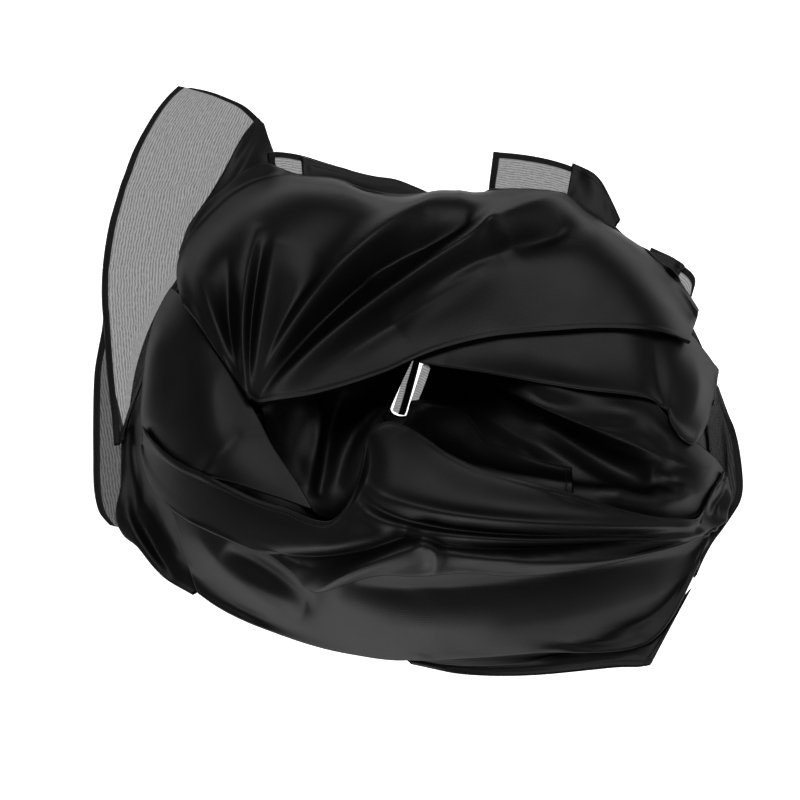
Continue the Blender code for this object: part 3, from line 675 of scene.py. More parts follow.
# Pieces from the lowest up, as columns: piece, rows, form it lies on, layer, steps along and across in its
# solid, folds, hemmed edges, edges that turn under, finish, how held.
STRETCHES = (
    ("floor_layer_left", FLOOR_LEFT_ROWS, heap, 0, 3, 5, (), "end", "", "sheer", "laid"),
    ("floor_layer_right", FLOOR_RIGHT_ROWS, heap, 0, 3, 5, (), "", "near", "sheer", "laid"),
    ("edge_left", EDGE_OUTER_ROWS, roof, 0, 14, 4, (), "far", "", "doubled", "draped"),
    ("edge_left_inner", EDGE_INNER_ROWS, roof, 0, 14, 4, EDGE_FOLDS, "", "far", "satin", "draped"),
    ("corner_back_left", CORNER_LEFT_ROWS, roof, 1, 16, 7, CORNER_LEFT_FOLDS,
     "near far", "", "sheer", "laid"),
    ("corner_back_left_fold", CORNER_FOLD_ROWS, roof, 2, 8, 4, CORNER_FOLD_FOLDS,
     "", "near", "satin", "laid"),
    ("corner_back_right", CORNER_RIGHT_ROWS, roof, 0, 8, 5, CORNER_RIGHT_FOLDS,
     "start near", "", "sheer", "laid"),
    ("corner_back_right_fold", CORNER_DOUBLED_ROWS, roof, 1, 6, 4, (), "near", "far", "satin", "laid"),
    ("loop_right", LOOP_RIGHT_ROWS, roof, 0, 7, 4, (), "near", "", "sheer", "laid"),
    ("loop_right_fold", LOOP_DOUBLED_ROWS, roof, 1, 5, 4, (), "near", "end", "satin", "laid"),
    ("back_strip", BACK_STRIP_ROWS, roof, 1, 7, 4, (), "near", "", "sheer", "laid"),
    ("back_strip_fold", STRIP_FOLD_ROWS, roof, 1, 8, 4, (), "near", "start", "satin", "laid"),
    ("outer_right", OUTER_RIGHT_ROWS, roof, 0, 12, 3, (), "far", "", "folded", "draped"),
    ("front_skirt", SKIRT_ROWS, roof, 0, 12, 3, SKIRT_FOLDS, "end far", "", "satin", "laid"),
    ("inner_left", INNER_LEFT_ROWS, heap, 0, 12, 9, INNER_LEFT_FOLDS, "", "", "satin", "draped"),
    ("inner_right", INNER_RIGHT_ROWS, heap, 0, 15, 10, INNER_RIGHT_FOLDS, "", "start", "satin", "draped"),
    ("inner_hem_layer", INNER_HEM_ROWS, heap, 1, 12, 4, (), "near end", "", "satin", "draped"),
    ("left_band", LEFT_BAND_ROWS, roof, 2, 10, 10, LEFT_FOLDS, "", "near far", "satin", "draped"),
    ("front_body", FRONT_BODY_ROWS, roof, 1, 22, 9, BODY_FOLDS, "", "far start", "satin", "draped"),
    ("front_band", FRONT_BAND_ROWS, roof, 3, 34, 8, BAND_FOLDS, "near", "far start", "satin", "draped"),
    ("right_lobe", RIGHT_LOBE_ROWS, roof, 2, 16, 6, LOBE_FOLDS, "end", "near", "satin", "draped"),
    ("back_band", BACK_BAND_ROWS, roof, 3, 26, 15, BACK_FOLDS, "near", "far start end", "satin", "draped"),
)

# The node of each piece that doesn't have a node's name, and the piece with the folds of the far flank.
SHARED_NODES = {
    "edge_left_inner": "edge_left",
    "corner_back_right_fold": "corner_back_right",
    "loop_right_fold": "loop_right",
    "back_strip_fold": "back_strip",
}
FAR_FOLDED = "back_band"


def with_hem(places, width, hem_at_start, hem_at_end):
    """Adds a grid line one hem width inside a hemmed edge."""
    share = min(HEM_WIDTH / max(width, 1.0), MOST_HEM_SHARE)
    places = list(places)
    if hem_at_start:
        places = [0.0] + [share + (1 - share) * p for p in places]
    if hem_at_end:
        places = [(1 - share) * p for p in places] + [1.0]
    return np.array(places)


def face_products(points):
    """Cross products of the diagonals of a grid's faces, each twice as long as its face is large."""
    return np.cross(points[1:, 1:] - points[:-1, :-1], points[:-1, 1:] - points[1:, :-1])


def normals_of(points):
    """Normals of a grid of points, turned so that most of them look up."""
    faces = face_products(points)
    if faces[..., 2].sum() < 0:
        faces = -faces
    faces /= np.maximum(np.linalg.norm(faces, axis=-1, keepdims=True), 1e-9)
    normal = np.zeros(points.shape)
    for part in (normal[:-1, :-1], normal[1:, :-1], normal[:-1, 1:], normal[1:, 1:]):
        part += faces
    return normal / np.maximum(np.linalg.norm(normal, axis=-1, keepdims=True), 1e-9)


def solid_grid(rows, form, layer, along, over, folds, far, hems):
    """The grid that the solid was made on: its places, its points without folds, and the folds' lift."""
    grow = FIRST_LAYER + LAYER_STEP * layer
    rows = np.array(rows, float)
    long_way = np.hypot(*np.diff(rows[:, :2], axis=0).T).sum()
    short_way = np.hypot(rows[:, 0] - rows[:, 2], np.minimum(rows[:, 3], TALLEST) - rows[:, 1]).max()
    u = with_hem(np.linspace(0, 1, along + 1), long_way, "start" in hems, "end" in hems)
    v = with_hem(np.linspace(0, 1, over + 1), short_way, "near" in hems, "far" in hems)
    near = smooth_rows(np.stack(place_on(form, grow, rows[:, 0], rows[:, 1]), -1), u)
    far_edge = smooth_rows(np.stack(place_on(form, grow, rows[:, 2], rows[:, 3]), -1), u)
    fine = np.linspace(0, 1, FINE_STEPS)
    flat = near[:, None] + (far_edge - near)[:, None] * fine[None, :, None]
    height = form(flat[..., 0], flat[..., 1], grow)
    steps = np.hypot(np.linalg.norm(np.diff(flat, axis=1), axis=-1), np.diff(height, axis=1))
    run = np.concatenate([np.zeros((len(u), 1)), np.cumsum(steps, 1)], 1)
    points = np.empty((len(u), len(v), 3))
    for k in range(len(u)):
        share = np.interp(v, run[k] / run[k, -1], fine)
        points[k, :, :2] = near[k] + (far_edge[k] - near[k]) * share[:, None]
    points[..., 2] = form(points[..., 0], points[..., 1], grow)
    return u, v, points, lift_at(points, folds, far, FOLD_SCALE, SOLID_CREST)


def lift_at(points, folds, far, scale, crest):
    """The lift of the folds at points of the cloth without them. A smaller crest makes a sharper fold."""
    across, rise = seen_from_eye(points)
    lift = np.zeros(across.shape)
    for row in folds:
        lift += scale * fold_height(row, across, rise, crest)
    if far:
        lift += far_height(points[..., 0], points[..., 1])
    return lift


def tree_of(node):
    """The solid of one node, in millimetres and in the plan's own place."""
    mesh = node.data
    mesh.calc_loop_triangles()
    points = [tuple(np.array(vertex.co) * 1000 + MIDDLE) for vertex in mesh.vertices]
    return BVHTree.FromPolygons(points, [tuple(triangle.vertices) for triangle in mesh.loop_triangles])


def struck(tree, x, y):
    """Where a line straight down meets a surface, and the surface's normal there."""
    return tree.ray_cast(Vector((x, y, RAY_TOP)), DOWN)[:2]


def neighbours(values):
    """Each value of a grid, with the four beside it."""
    wide = np.pad(values, 1, mode="edge")
    return np.stack([values, wide[:-2, 1:-1], wide[2:, 1:-1], wide[1:-1, :-2], wide[1:-1, 2:]])


def smoothed(values, rounds):
    """Values of a grid, each drawn half of the way to the mean of the four beside it."""
    for _ in range(rounds):
        values = values / 2 + neighbours(values)[1:].mean(0) / 2
    return values


def settled(points, tree, half):
    """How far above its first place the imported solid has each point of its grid, evened out."""
    n, m = points.shape[:2]
    offset = np.full((n, m), np.nan)
    for i, j in np.ndindex(n, m):
        near_i = i + 1 if i < n / 2 else i - 1
        near_j = j + 1 if j < m / 2 else j - 1
        share = EDGE_INWARD if i in (0, n - 1) or j in (0, m - 1) else POINT_INWARD
        at = points[i, j] + share * (points[near_i, near_j] - points[i, j])
        hit, normal = struck(tree, at[0], at[1])
        if hit is not None:
            offset[i, j] = hit.z - half[i, j] / max(normal.z, SOLID_UPRIGHT) - at[2]
    for _ in range(n + m):
        lost = np.isnan(offset)
        if not lost.any():
            break
        around = neighbours(offset)[1:]
        known = ~np.isnan(around)
        mean = np.where(known, around, 0).sum(0) / np.maximum(known.sum(0), 1)
        offset = np.where(lost & known.any(0), mean, offset)
    return smoothed(np.nan_to_num(offset), OFFSET_ROUNDS)


def spline_weights(knots, at):
    """Weights that carry values at uneven knots to other places through smooth cubic steps."""
    n = len(knots)
    gaps = np.diff(knots)
    slopes = np.zeros((n, n))
    slopes[0, :2] = -1 / gaps[0], 1 / gaps[0]
    slopes[-1, -2:] = -1 / gaps[-1], 1 / gaps[-1]
    for k in range(1, n - 1):
        before, after = gaps[k - 1], gaps[k]
        slopes[k, k - 1] = -after / (before * (before + after))
        slopes[k, k + 1] = before / (after * (before + after))
        slopes[k, k] = -slopes[k, k - 1] - slopes[k, k + 1]
    low = np.clip(np.searchsorted(knots, at, side="right") - 1, 0, n - 2)
    gap = gaps[low]
    t = (at - knots[low]) / gap
    leaving = (t**3 - 2 * t**2 + t) * gap
    arriving = (t**3 - t**2) * gap
    weights = leaving[:, None] * slopes[low] + arriving[:, None] * slopes[low + 1]
    index = np.arange(len(at))
    weights[index, low] += 2 * t**3 - 3 * t**2 + 1
    weights[index, low + 1] += 3 * t**2 - 2 * t**3
    return weights


def fine_lines(length, count, hem_at_start, hem_at_end):
    """Places from 0 to 1 along a length, close together at a hem."""
    lines = np.array(HEM_LINES) * min(1.0, MOST_LINES_SHARE * length / HEM_LINES[-1])
    start = lines if hem_at_start else np.array([0.0])
    end = length - lines[::-1] if hem_at_end else np.array([length])
    middle = np.linspace(start[-1], end[0], count + 1)[1:-1]
    return np.concatenate([start, middle, end]) / length


def fine_grid(u, v, values, hems):
    """Carries the solid's grid to a fine one. Returns the fine values."""
    long_way = np.linalg.norm(np.diff(values[..., :3], axis=0), axis=-1).sum(0).max()
    over_u = fine_lines(long_way, max(FEWEST_STEPS, int(long_way / STEP)), "start" in hems, "end" in hems)
    carried = np.einsum("ab,bcd->acd", spline_weights(u, over_u), values)
    widths = np.linalg.norm(np.diff(carried[..., :3], axis=1), axis=-1).sum(1)
    count = max(FEWEST_STEPS, int(widths.max() / STEP))
    rows = []
    for row, width in zip(carried, widths):
        lines = fine_lines(max(width, LEAST_WIDTH), count, "near" in hems, "far" in hems)
        rows.append(spline_weights(v, lines) @ row)
    return np.array(rows)


def ripples(points, seed, height):
    """Slight uneven waves of slack cloth."""
    random = np.random.default_rng(seed)
    total = np.zeros(points.shape[:2])
    for _ in range(WAVES):
        turn = random.uniform(0, math.pi)
        wave = random.uniform(*WAVE_LENGTHS)
        phase = random.uniform(0, 2 * math.pi)
        bend = random.uniform(*WAVE_BENDS)
        along = points[..., 0] * math.cos(turn) + points[..., 1] * math.sin(turn)
        aside = points[..., 1] * math.cos(turn) - points[..., 0] * math.sin(turn)
        swayed = along + WAVE_SWAY * np.sin(bend * 2 * aside)
        total += np.sin(2 * math.pi * swayed / wave + phase) * wave / FULL_WAVE
    return total * height / WAVE_SUM


def edge_gaps(points):
    """Distance of each point of a grid from its start, end, near and far edges, along the cloth."""
    along = np.linalg.norm(np.diff(points, axis=0), axis=-1)
    across = np.linalg.norm(np.diff(points, axis=1), axis=-1)
    zero_row = np.zeros((1, points.shape[1]))
    zero_column = np.zeros((points.shape[0], 1))
    down = np.concatenate([zero_row, np.cumsum(along, 0)])
    over = np.concatenate([zero_column, np.cumsum(across, 1)], 1)
    return {"start": down, "end": down[-1] - down, "near": over, "far": over[:, -1:] - over}


def rest_on(points, need, below):
    """Raises points that come nearer to what lies below them than they need, and eases the raise outwards."""
    lift = np.zeros(points.shape[:2])
    low = points.reshape(-1, 3).min(0)
    high = points.reshape(-1, 3).max(0)
    normal = normals_of(points)
    upright = 1 / np.clip(np.abs(normal[..., 2]), SHELL_UPRIGHT, 1.0)
    for tree, tree_low, tree_high in below:
        if (tree_low[:2] > high[:2]).any() or (tree_high[:2] < low[:2]).any():
            continue
        for i, j in np.ndindex(lift.shape):
            x, y, z = points[i, j]
            if not (tree_low[0] <= x <= tree_high[0] and tree_low[1] <= y <= tree_high[1]):
                continue
            hit = struck(tree, x, y)[0]
            if hit is not None:
                lift[i, j] = max(lift[i, j], hit.z + need[i, j] * upright[i, j] - z)
    for _ in range(WIDEN_ROUNDS):
        lift = np.max(neighbours(lift), 0)
    for _ in range(EASE_ROUNDS):
        lift = np.maximum(lift, neighbours(lift)[1:].mean(0))
    raised = points.copy()
    raised[..., 2] = np.maximum(points[..., 2] + smoothed(lift, SMOOTH_ROUNDS), SHELL / 2)
    return raised


def turned(points, edge):
    """Adds the round and the short run of cloth that turns under at one edge."""
    sideways = edge in ("near", "far")
    backwards = edge in ("start", "near")
    if sideways:
        points = points.transpose(1, 0, 2)
    if backwards:
        points = points[::-1]
    last, before = points[-1], points[-3]
    normal = normals_of(points)[-1]
    if np.mean(normal[:, 2]) < 0:
        normal = -normal
    out = last - before
    out -= (out * normal).sum(-1, keepdims=True) * normal
    out /= np.maximum(np.linalg.norm(out, axis=-1, keepdims=True), 1e-9)
    added = []
    for angle in TURN_ANGLES:
        a = math.radians(angle)
        added.append(last + TURN_RADIUS * (math.sin(a) * out - (1 - math.cos(a)) * normal))
    for run in TURN_RUNS:
        added.append(last - 2 * TURN_RADIUS * normal - run * out)
    whole = np.concatenate([points, np.array(added)])
    whole[..., 2] = np.maximum(whole[..., 2], SHELL / 2)
    if backwards:
        whole = whole[::-1]
    return whole.transpose(1, 0, 2) if sideways else whole


def grid_quads(index):
    """The faces of a grid of point numbers."""
    return np.stack([index[:-1, :-1], index[1:, :-1], index[1:, 1:], index[:-1, 1:]], -1).reshape(-1, 4)


def made_object(name, places, faces, material):
    """A smooth object in the scene, from places on the plan in millimetres."""
    mesh = bpy.data.meshes.new(name)
    mesh.from_pydata(((np.array(places) - MIDDLE) / 1000).tolist(), [], faces)
    mesh.polygons.foreach_set("use_smooth", [True] * len(mesh.polygons))
    mesh.materials.append(material)
    obj = bpy.data.objects.new(name, mesh)
    bpy.context.scene.collection.objects.link(obj)
    return obj


def add_cloth_data(obj, uv, hem):
    """Gives each point its place on the flat cloth, from millimetres, and 1 where it is on a hem."""
    mesh = obj.data
    corners = np.array([loop.vertex_index for loop in mesh.loops])
    mesh.uv_layers.new(name="cloth").data.foreach_set("uv", (uv / 1000)[corners].ravel())
    mesh.attributes.new("hem", "FLOAT", "POINT").data.foreach_set("value", hem)
    mesh.update()


def shell_object(name, points, half, hem, uv, material):
    """A closed thin shell on a grid, with a round rim. half is its half thickness and hem is 1 on a hem."""
    rows, columns = points.shape[:2]
    count = rows * columns
    index = np.arange(count).reshape(rows, columns)
    rim = np.concatenate([index[0], index[1:, -1], index[-1, -2::-1], index[-2:0:-1, 0]])
    inside = np.concatenate([index[1, :], index[1:, -2], index[-2, -2::-1], index[-2:0:-1, 1]])
    inside[0] = index[1, 1]
    inside[columns - 1] = index[1, -2]
    inside[columns + rows - 2] = index[-2, -2]
    inside[2 * columns + rows - 3] = index[-2, 1]
    flat = points.reshape(-1, 3)
    normal = normals_of(points).reshape(-1, 3)
    half = half.reshape(-1, 1)
    out = flat[rim] - flat[inside]
    out -= (out * normal[rim]).sum(-1, keepdims=True) * normal[rim]
    out /= np.maximum(np.linalg.norm(out, axis=-1, keepdims=True), 1e-9)
    places = np.concatenate([flat + normal * half, flat - normal * half, flat[rim] + out * half[rim]])
    places[:, 2] = np.maximum(places[:, 2], FLOOR)
    quads = grid_quads(index)
    first = np.cross(flat[quads[:, 1]] - flat[quads[:, 0]], flat[quads[:, 3]] - flat[quads[:, 0]])
    ring = np.arange(len(rim)) + 2 * count
    after_rim = np.roll(rim, -1)
    after_ring = np.roll(ring, -1)
    top_side = np.stack([rim, after_rim, after_ring, ring], -1)
    low_side = np.stack([ring, after_ring, after_rim + count, rim + count], -1)
    if (first * normal[quads[:, 0]]).sum() > 0:
        faces = np.concatenate([quads, quads[:, ::-1] + count, top_side[:, ::-1], low_side[:, ::-1]])
    else:
        faces = np.concatenate([quads[:, ::-1], quads + count, top_side, low_side])
    obj = made_object(name, places, faces.tolist(), material)
    uv = uv.reshape(-1, 2)
    hem = hem.reshape(-1)
    add_cloth_data(obj, np.concatenate([uv, uv, uv[rim]]), np.concatenate([hem, hem, hem[rim]]))
    return obj


def read_line(values, run, place):
    """Values along a line, read at one place of its run."""
    return np.array([np.interp(place, run, values[:, k]) for k in range(3)])


def stitches(name, line, normal):
    """A row of small thread stitches along a line on the cloth."""
    run = np.concatenate([[0], np.cumsum(np.linalg.norm(np.diff(line, axis=0), axis=1))])
    points = []
    faces = []
    for start in np.arange(STITCH_PITCH, run[-1] - STITCH_PITCH, STITCH_PITCH):
        middle = read_line(line, run, start)
        ahead = read_line(line, run, start + 0.5) - middle
        upward = read_line(normal, run, start)
        ahead /= np.linalg.norm(ahead)
        upward /= np.linalg.norm(upward)
        side = np.cross(ahead, upward)
        first = len(points)
        for along, wide in STITCH_PROFILE:
            for k in range(STITCH_SIDES):
                turn = 2 * math.pi * k / STITCH_SIDES
                points.append(middle + ahead * along * STITCH_LONG
                              + STITCH_THICK / 2 * wide * (math.cos(turn) * side + math.sin(turn) * upward))
        for ring in range(len(STITCH_PROFILE) - 1):
            for k in range(STITCH_SIDES):
                a = first + ring * STITCH_SIDES + k
                b = first + ring * STITCH_SIDES + (k + 1) % STITCH_SIDES
                faces.append((a, b, b + STITCH_SIDES, a + STITCH_SIDES))
        last = first + (len(STITCH_PROFILE) - 1) * STITCH_SIDES
        faces.append(tuple(first + k for k in reversed(range(STITCH_SIDES))))
        faces.append(tuple(last + k for k in range(STITCH_SIDES)))
    return made_object(name, points, faces, THREAD)


def new_material(name):
    """A material with one Principled shader, its nodes and their links."""
    material = bpy.data.materials.new(name)
    material.use_nodes = True
    tree = material.node_tree
    return material, tree, tree.nodes["Principled BSDF"]


def add_node(tree, kind, settings=(), **inputs):
    """A node with named settings and input values or links."""
    made = tree.nodes.new(kind)
    for key, value in dict(settings).items():
        setattr(made, key, value)
    for key, value in inputs.items():
        socket = made.inputs[int(key[1:])] if key[0] == "i" and key[1:].isdigit() else made.inputs[key]
        if isinstance(value, bpy.types.NodeSocket):
            tree.links.new(value, socket)
        else:
            socket.default_value = value
    return made


def cloth_coordinates(tree):
    """Places on the flat cloth."""
    return add_node(tree, "ShaderNodeUVMap", {"uv_map": "cloth"}).outputs["UV"]


def ranged(tree, value, start, end, low, high, **settings):
    """Carries a value from between start and end to between low and high."""
    made = add_node(tree, "ShaderNodeMapRange", settings, i0=value, i1=start, i2=end, i3=low, i4=high)
    return made.outputs[0]


# How far the cloth is turned from the eye where its shine starts to fade and where it is weakest, and the
# share of it that is left there.
TURNED_AWAY = (0.25, 0.8)
EDGE_SHINE = 0.06


def dim_at_edges(tree, shader, level):
    """Lowers the mirror part of the shine where the cloth turns away from the eye, as a rough weave does."""
    facing = add_node(tree, "ShaderNodeLayerWeight", Blend=0.5).outputs["Facing"]
    dim = ranged(tree, facing, *TURNED_AWAY, level, level * EDGE_SHINE, interpolation_type="SMOOTHSTEP")
    tree.links.new(dim, shader.inputs["Specular IOR Level"])


def two_blacks(tree, shader, share, dark, light):
    """A base colour that drifts between two near blacks."""
    shade = add_node(tree, "ShaderNodeMix", {"data_type": "RGBA"}, i0=share)
    shade.inputs[6].default_value = (*dark, 1)
    shade.inputs[7].default_value = (*light, 1)
    tree.links.new(shade.outputs[2], shader.inputs["Base Color"])


def satin_material():
    """Black silk satin: a broad soft highlight, slight unevenness of dye and a fine weave."""
    material, tree, shader = new_material("black_satin")
    at = cloth_coordinates(tree)
    cloud = add_node(tree, "ShaderNodeTexNoise", Vector=at, Scale=22.0, Detail=4.0).outputs["Fac"]
    two_blacks(tree, shader, cloud, (0.0030, 0.0030, 0.0034), (0.0052, 0.0052, 0.0057))
    tree.links.new(ranged(tree, cloud, 0.3, 0.7, 0.44, 0.50), shader.inputs["Roughness"])
    dim_at_edges(tree, shader, 0.38)
    weave = add_node(tree, "ShaderNodeTexWave", {"bands_direction": "Y"}, Vector=at, Scale=180.0,
                     Distortion=1.2, Detail=1.0).outputs["Fac"]
    grain = add_node(tree, "ShaderNodeTexNoise", Vector=at, Scale=900.0, Detail=2.0).outputs["Fac"]
    both = add_node(tree, "ShaderNodeMath", {"operation": "ADD"}, i0=weave, i1=grain).outputs[0]
    bump = add_node(tree, "ShaderNodeBump", Strength=0.10, Distance=0.0002, Height=both).outputs[0]
    tree.links.new(bump, shader.inputs["Normal"])
    return material


def sheer_material(name, least, most):
    """Thin black silk: light passes between its threads, but not through the hem. least and most are how much
    each face of the shell covers."""
    material, tree, shader = new_material(name)
    at = cloth_coordinates(tree)
    lines = add_node(tree, "ShaderNodeTexWave", {"bands_direction": "Y"}, Vector=at, Scale=150.0,
                     Distortion=4.0, Detail=2.0).outputs["Fac"]
    cloud = add_node(tree, "ShaderNodeTexNoise", Vector=at, Scale=320.0, Detail=3.0).outputs["Fac"]
    mixed = add_node(tree, "ShaderNodeMath", {"operation": "MULTIPLY"}, i0=lines, i1=cloud).outputs[0]
    cover = ranged(tree, mixed, 0.0, 0.6, least, most)
    hem = add_node(tree, "ShaderNodeAttribute", {"attribute_name": "hem"}).outputs["Fac"]
    alpha = add_node(tree, "ShaderNodeMath", {"operation": "MAXIMUM"}, i0=cover, i1=hem).outputs[0]
    tree.links.new(alpha, shader.inputs["Alpha"])
    two_blacks(tree, shader, cloud, (0.005, 0.005, 0.006), (0.012, 0.012, 0.014))
    shader.inputs["Roughness"].default_value = 0.6
    dim_at_edges(tree, shader, 0.3)
    bump = add_node(tree, "ShaderNodeBump", Strength=0.15, Distance=0.0002, Height=lines).outputs[0]
    tree.links.new(bump, shader.inputs["Normal"])
    return material


def thread_material():
    """Black sewing thread, twisted."""
    material, tree, shader = new_material("black_thread")
    at = add_node(tree, "ShaderNodeTexCoord").outputs["Object"]
    twist = add_node(tree, "ShaderNodeTexNoise", Vector=at, Scale=1500.0, Detail=2.0).outputs["Fac"]
    two_blacks(tree, shader, twist, (0.008, 0.008, 0.009), (0.03, 0.03, 0.033))
    shader.inputs["Roughness"].default_value = 0.55
    return material


MATERIALS = {
    "satin": satin_material(),
    "sheer": sheer_material("sheer_silk", 0.52, 0.70),
    "doubled": sheer_material("sheer_silk_doubled", 0.70, 0.82),
    "folded": sheer_material("sheer_silk_folded", 0.86, 0.94),
}
THREAD = thread_material()


def cloth_uv(points):
    """Where each point of a grid lies on the flat cloth, in millimetres."""
    gaps = edge_gaps(points)
    middle = gaps["start"].mean(1, keepdims=True)
    return np.stack([np.broadcast_to(middle, points.shape[:2]), gaps["near"]], -1)


# For each edge, the lines of a solid's grid on its hem, the line of a fine grid with the stitches, and the
# place in a table of paddings.
HEM_PARTS = {"start": np.s_[:2], "end": np.s_[-2:], "near": np.s_[:, :2], "far": np.s_[:, -2:]}
STITCH_PARTS = {
    "start": np.s_[STITCH_LINE],
    "end": np.s_[-1 - STITCH_LINE],
    "near": np.s_[:, STITCH_LINE],
    "far": np.s_[:, -1 - STITCH_LINE],
}
PAD_PLACES = {"start": (0, 0), "end": (0, 1), "near": (1, 0), "far": (1, 1)}


def dress(number, row, below):
    """Makes one visible stretch of cloth with its hems and stitches."""
    name, rows, form, layer, along, over, folds, hems, turns, finish, held = row
    node = SHARED_NODES.get(name, name)
    far = name == FAR_FOLDED
    hems = hems.split()
    turns = turns.split()
    u, v, base, lift = solid_grid(rows, form, layer, along, over, folds, far, hems)
    hem_mask = np.zeros(lift.shape, bool)
    for edge in hems:
        hem_mask[HEM_PARTS[edge]] = True
    half_solid = np.where(hem_mask, HEM_THICK, CLOTH_THICK) / 2
    offset = settled(base + normals_of(base) * lift[..., None], tree_of(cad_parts[node]), half_solid)
    fine = fine_grid(u, v, np.concatenate([base, offset[..., None]], -1), hems)
    base = fine[..., :3]
    shown = FOLDS_SHOWN.get(name, folds)
    bump = lift_at(base, shown, far, SHOWN_SCALE, SHOWN_CREST) + ripples(base, number, RIPPLE)
    points = base + normals_of(base) * bump[..., None]
    points[..., 2] += fine[..., 3]
    gaps = edge_gaps(points)
    need = np.full(points.shape[:2], SHELL / 2 + CLEAR)
    for edge in turns:
        near_edge = np.clip(1 - gaps[edge] / TURN_REACH, 0, 1)
        need = np.maximum(need, SHELL / 2 + CLEAR + 2 * TURN_RADIUS * near_edge)
    for edge in hems:
        need = np.maximum(need, np.where(gaps[edge] < HEM_SHOWN, HEM_SHELL / 2 + CLEAR, 0))
    points = rest_on(points, need, below)
    gaps = edge_gaps(points)
    hem = np.zeros(points.shape[:2])
    groove = np.zeros(points.shape[:2])
    for edge in hems:
        hem = np.maximum(hem, np.clip((HEM_SHOWN - gaps[edge]) / HEM_RAMP, 0, 1))
        groove = np.maximum(groove, np.exp(-((gaps[edge] - HEM_LINES[STITCH_LINE]) / GROOVE_WIDTH) ** 2))
    half = SHELL / 2 + (HEM_SHELL - SHELL) / 2 * hem - GROOVE / 2 * groove * hem
    normal = normals_of(points)
    for edge in hems:
        part = STITCH_PARTS[edge]
        line = points[part] + normal[part] * half[part][:, None]
        thread = stitches("stitches_" + name + "_" + edge, line, normal[part])
        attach(thread, "root")
    for edge in turns:
        points = turned(points, edge)
        pads = np.zeros((2, 2), int)
        pads[PAD_PLACES[edge]] = len(TURN_ANGLES) + len(TURN_RUNS)
        half = np.pad(half, pads, mode="edge")
        hem = np.pad(hem, pads, mode="edge")
    obj = shell_object("cloth_" + name, points, half, hem, cloth_uv(points), MATERIALS[finish])
    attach(obj, "root")
    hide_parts(node)
    top = (points + normals_of(points) * half[..., None]).reshape(-1, 3)
    quads = grid_quads(np.arange(len(top)).reshape(points.shape[:2]))
    below.append((BVHTree.FromPolygons(top.tolist(), quads.tolist()), top.min(0), top.max(0)))


# The hidden layers: turns and stations of the skin, its foot, how far it lies under the heap's form, the
# inset of its foot, its creases as columns (height, waves round the ring, distance of one turn), and the lips
# at its foot as columns (reach, share of a lip's height).
SKIN_TURNS = 288
SKIN_STATIONS = 96
SKIN_FOOT = 4.0
SKIN_DROP = 0.3
SKIN_SINK = 0.8
SKIN_INSET = 0.2
SKIN_CREASES = ((0.5, 23, 31), (0.3, 41, -17))
SKIN_LIPS = 3
SKIN_LIPS_HIGH = 3.6
SKIN_LIP = ((0.4, 0.05), (1.5, 0.2), (1.7, 0.45), (1.0, 0.7), (0.1, 0.82))


def ring_points(angle, radius, level):
    """Points of a ring round the hollow's centre."""
    return np.stack([HOLLOW_X + radius * np.cos(angle), HOLLOW_Y + radius * np.sin(angle), level], -1)


def hidden_layers():
    """The cloth inside the heap, where it shows. Returns its surface, its low ends and its high ends."""
    turns = np.arange(SKIN_TURNS) * 360.0 / SKIN_TURNS
    angle = np.radians(turns)
    _, _, foot, hollow = ring_at(turns)
    rings = []
    for k in range(SKIN_STATIONS):
        radius = hollow + (foot - SKIN_FOOT - hollow) * k / (SKIN_STATIONS - 1)
        ring = ring_points(angle, radius, np.zeros(SKIN_TURNS))
        crease = sum(height * np.sin(angle * waves + radius / turn) for height, waves, turn in SKIN_CREASES)
        level = heap(ring[:, 0], ring[:, 1]) - SKIN_DROP - SKIN_SINK + crease
        ring[:, 2] = np.maximum(level, SKIN_FOOT - SKIN_DROP)
        rings.append(ring)
    top = rings[-1][:, 2]
    for lip in range(SKIN_LIPS):
        for reach, drop in SKIN_LIP:
            level = top * (1 - (lip + drop) / SKIN_LIPS_HIGH)
            radius = foot - SKIN_FOOT * (1 - (lip + drop) / SKIN_LIPS) + reach - SKIN_INSET
            rings.append(ring_points(angle, radius, level))
    for radius in (foot - SKIN_INSET, hollow + SKIN_INSET):
        rings.append(ring_points(angle, radius, np.full(SKIN_TURNS, FLOOR)))
    points = np.array(rings).reshape(-1, 3)
    index = np.arange(len(points)).reshape(len(rings), SKIN_TURNS)
    faces = grid_quads(np.pad(index, (0, 1), mode="wrap")).tolist()
    obj = made_object("hidden_layers", points, faces, MATERIALS["satin"])
    add_cloth_data(obj, points[:, :2], np.ones(len(points)))
    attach(obj, "root")
    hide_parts("inner_layers")
    return BVHTree.FromPolygons(points.tolist(), faces), points.min(0), points.max(0)


# The lit surface glows within one radius and fades out to a dim floor at the other. All in metres.
LIT_RADIUS = 0.44
DARK_RADIUS = 0.66
LIT_STRENGTH = 1.6
DARK_STRENGTH = 0.10
SURFACE_HALF = 3.0
SURFACE_LEVEL = -0.0006


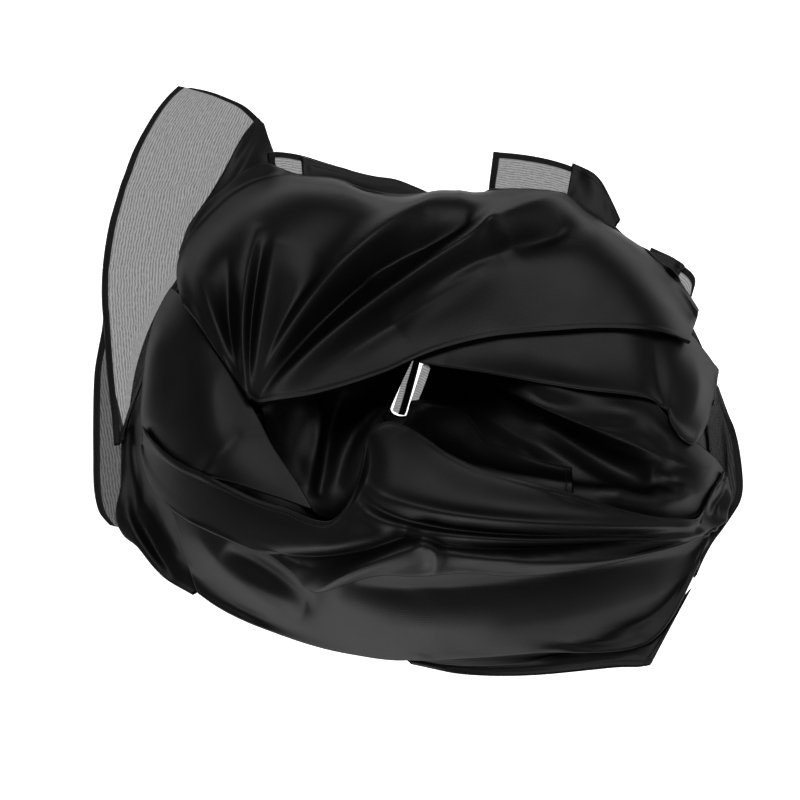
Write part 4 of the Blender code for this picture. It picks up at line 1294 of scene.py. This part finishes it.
def surface():
    """The lit white surface under the scarf."""
    mesh = bpy.data.meshes.new("lit_surface")
    ways = ((-1, -1), (1, -1), (1, 1), (-1, 1))
    corners = [(SURFACE_HALF * x, SURFACE_HALF * y, SURFACE_LEVEL) for x, y in ways]
    mesh.from_pydata(corners, [], [(0, 1, 2, 3)])
    obj = bpy.data.objects.new("lit_surface", mesh)
    bpy.context.scene.collection.objects.link(obj)
    material, tree, shader = new_material("lit_white")
    at = add_node(tree, "ShaderNodeTexCoord").outputs["Object"]
    far = add_node(tree, "ShaderNodeVectorMath", {"operation": "LENGTH"}, i0=at).outputs["Value"]
    glow = ranged(tree, far, LIT_RADIUS, DARK_RADIUS, LIT_STRENGTH, DARK_STRENGTH,
                  interpolation_type="SMOOTHSTEP")
    shader.inputs["Base Color"].default_value = (0.8, 0.8, 0.8, 1)
    shader.inputs["Roughness"].default_value = 0.7
    shader.inputs["Emission Color"].default_value = (1, 1, 1, 1)
    tree.links.new(glow, shader.inputs["Emission Strength"])
    mesh.materials.append(material)


# The camera looks at the plan's middle along the way that the board was measured from.
CAMERA_FAR = 2.2
CAMERA_SEES = 0.56
SENSOR = 36.0


def camera():
    """The photo's view."""
    data = bpy.data.cameras.new("camera")
    data.sensor_width = SENSOR
    data.lens = SENSOR * CAMERA_FAR / CAMERA_SEES
    obj = bpy.data.objects.new("camera", data)
    bpy.context.scene.collection.objects.link(obj)
    back = Vector((0, -math.sin(BOARD_LEAN), math.cos(BOARD_LEAN)))
    obj.location = Vector(MIDDLE) / -1000 + back * CAMERA_FAR
    obj.rotation_euler = (-back).to_track_quat("-Z", "Y").to_euler()
    bpy.context.scene.camera = obj


# The room's even light, and soft lights as columns: name, place in metres, side in metres, power in watts.
ROOM_STRENGTH = 0.06
LIGHTS = (
    ("overhead", (0.1, 0.65, 1.6), 1.0, 6.5),
    ("front", (-0.5, -1.9, 0.5), 1.0, 14.0),
    ("right", (1.6, 0.2, 1.1), 0.9, 1.5),
)


def lights():
    """Soft lights that all look at the scarf's middle, and the room's light."""
    for name, place, side, power in LIGHTS:
        data = bpy.data.lights.new(name, "AREA")
        data.shape = "SQUARE"
        data.size = side
        data.energy = power
        obj = bpy.data.objects.new(name, data)
        obj.location = place
        obj.rotation_euler = (-Vector(place)).to_track_quat("-Z", "Y").to_euler()
        bpy.context.scene.collection.objects.link(obj)
    world = bpy.data.worlds.new("room")
    world.use_nodes = True
    background = world.node_tree.nodes["Background"]
    background.inputs["Color"].default_value = (1, 1, 1, 1)
    background.inputs["Strength"].default_value = ROOM_STRENGTH
    bpy.context.scene.world = world


camera()
lights()
surface()
below = [hidden_layers()]
for number, row in enumerate(STRETCHES):
    dress(number, row, below)
bpy.context.scene.view_settings.view_transform = "Standard"
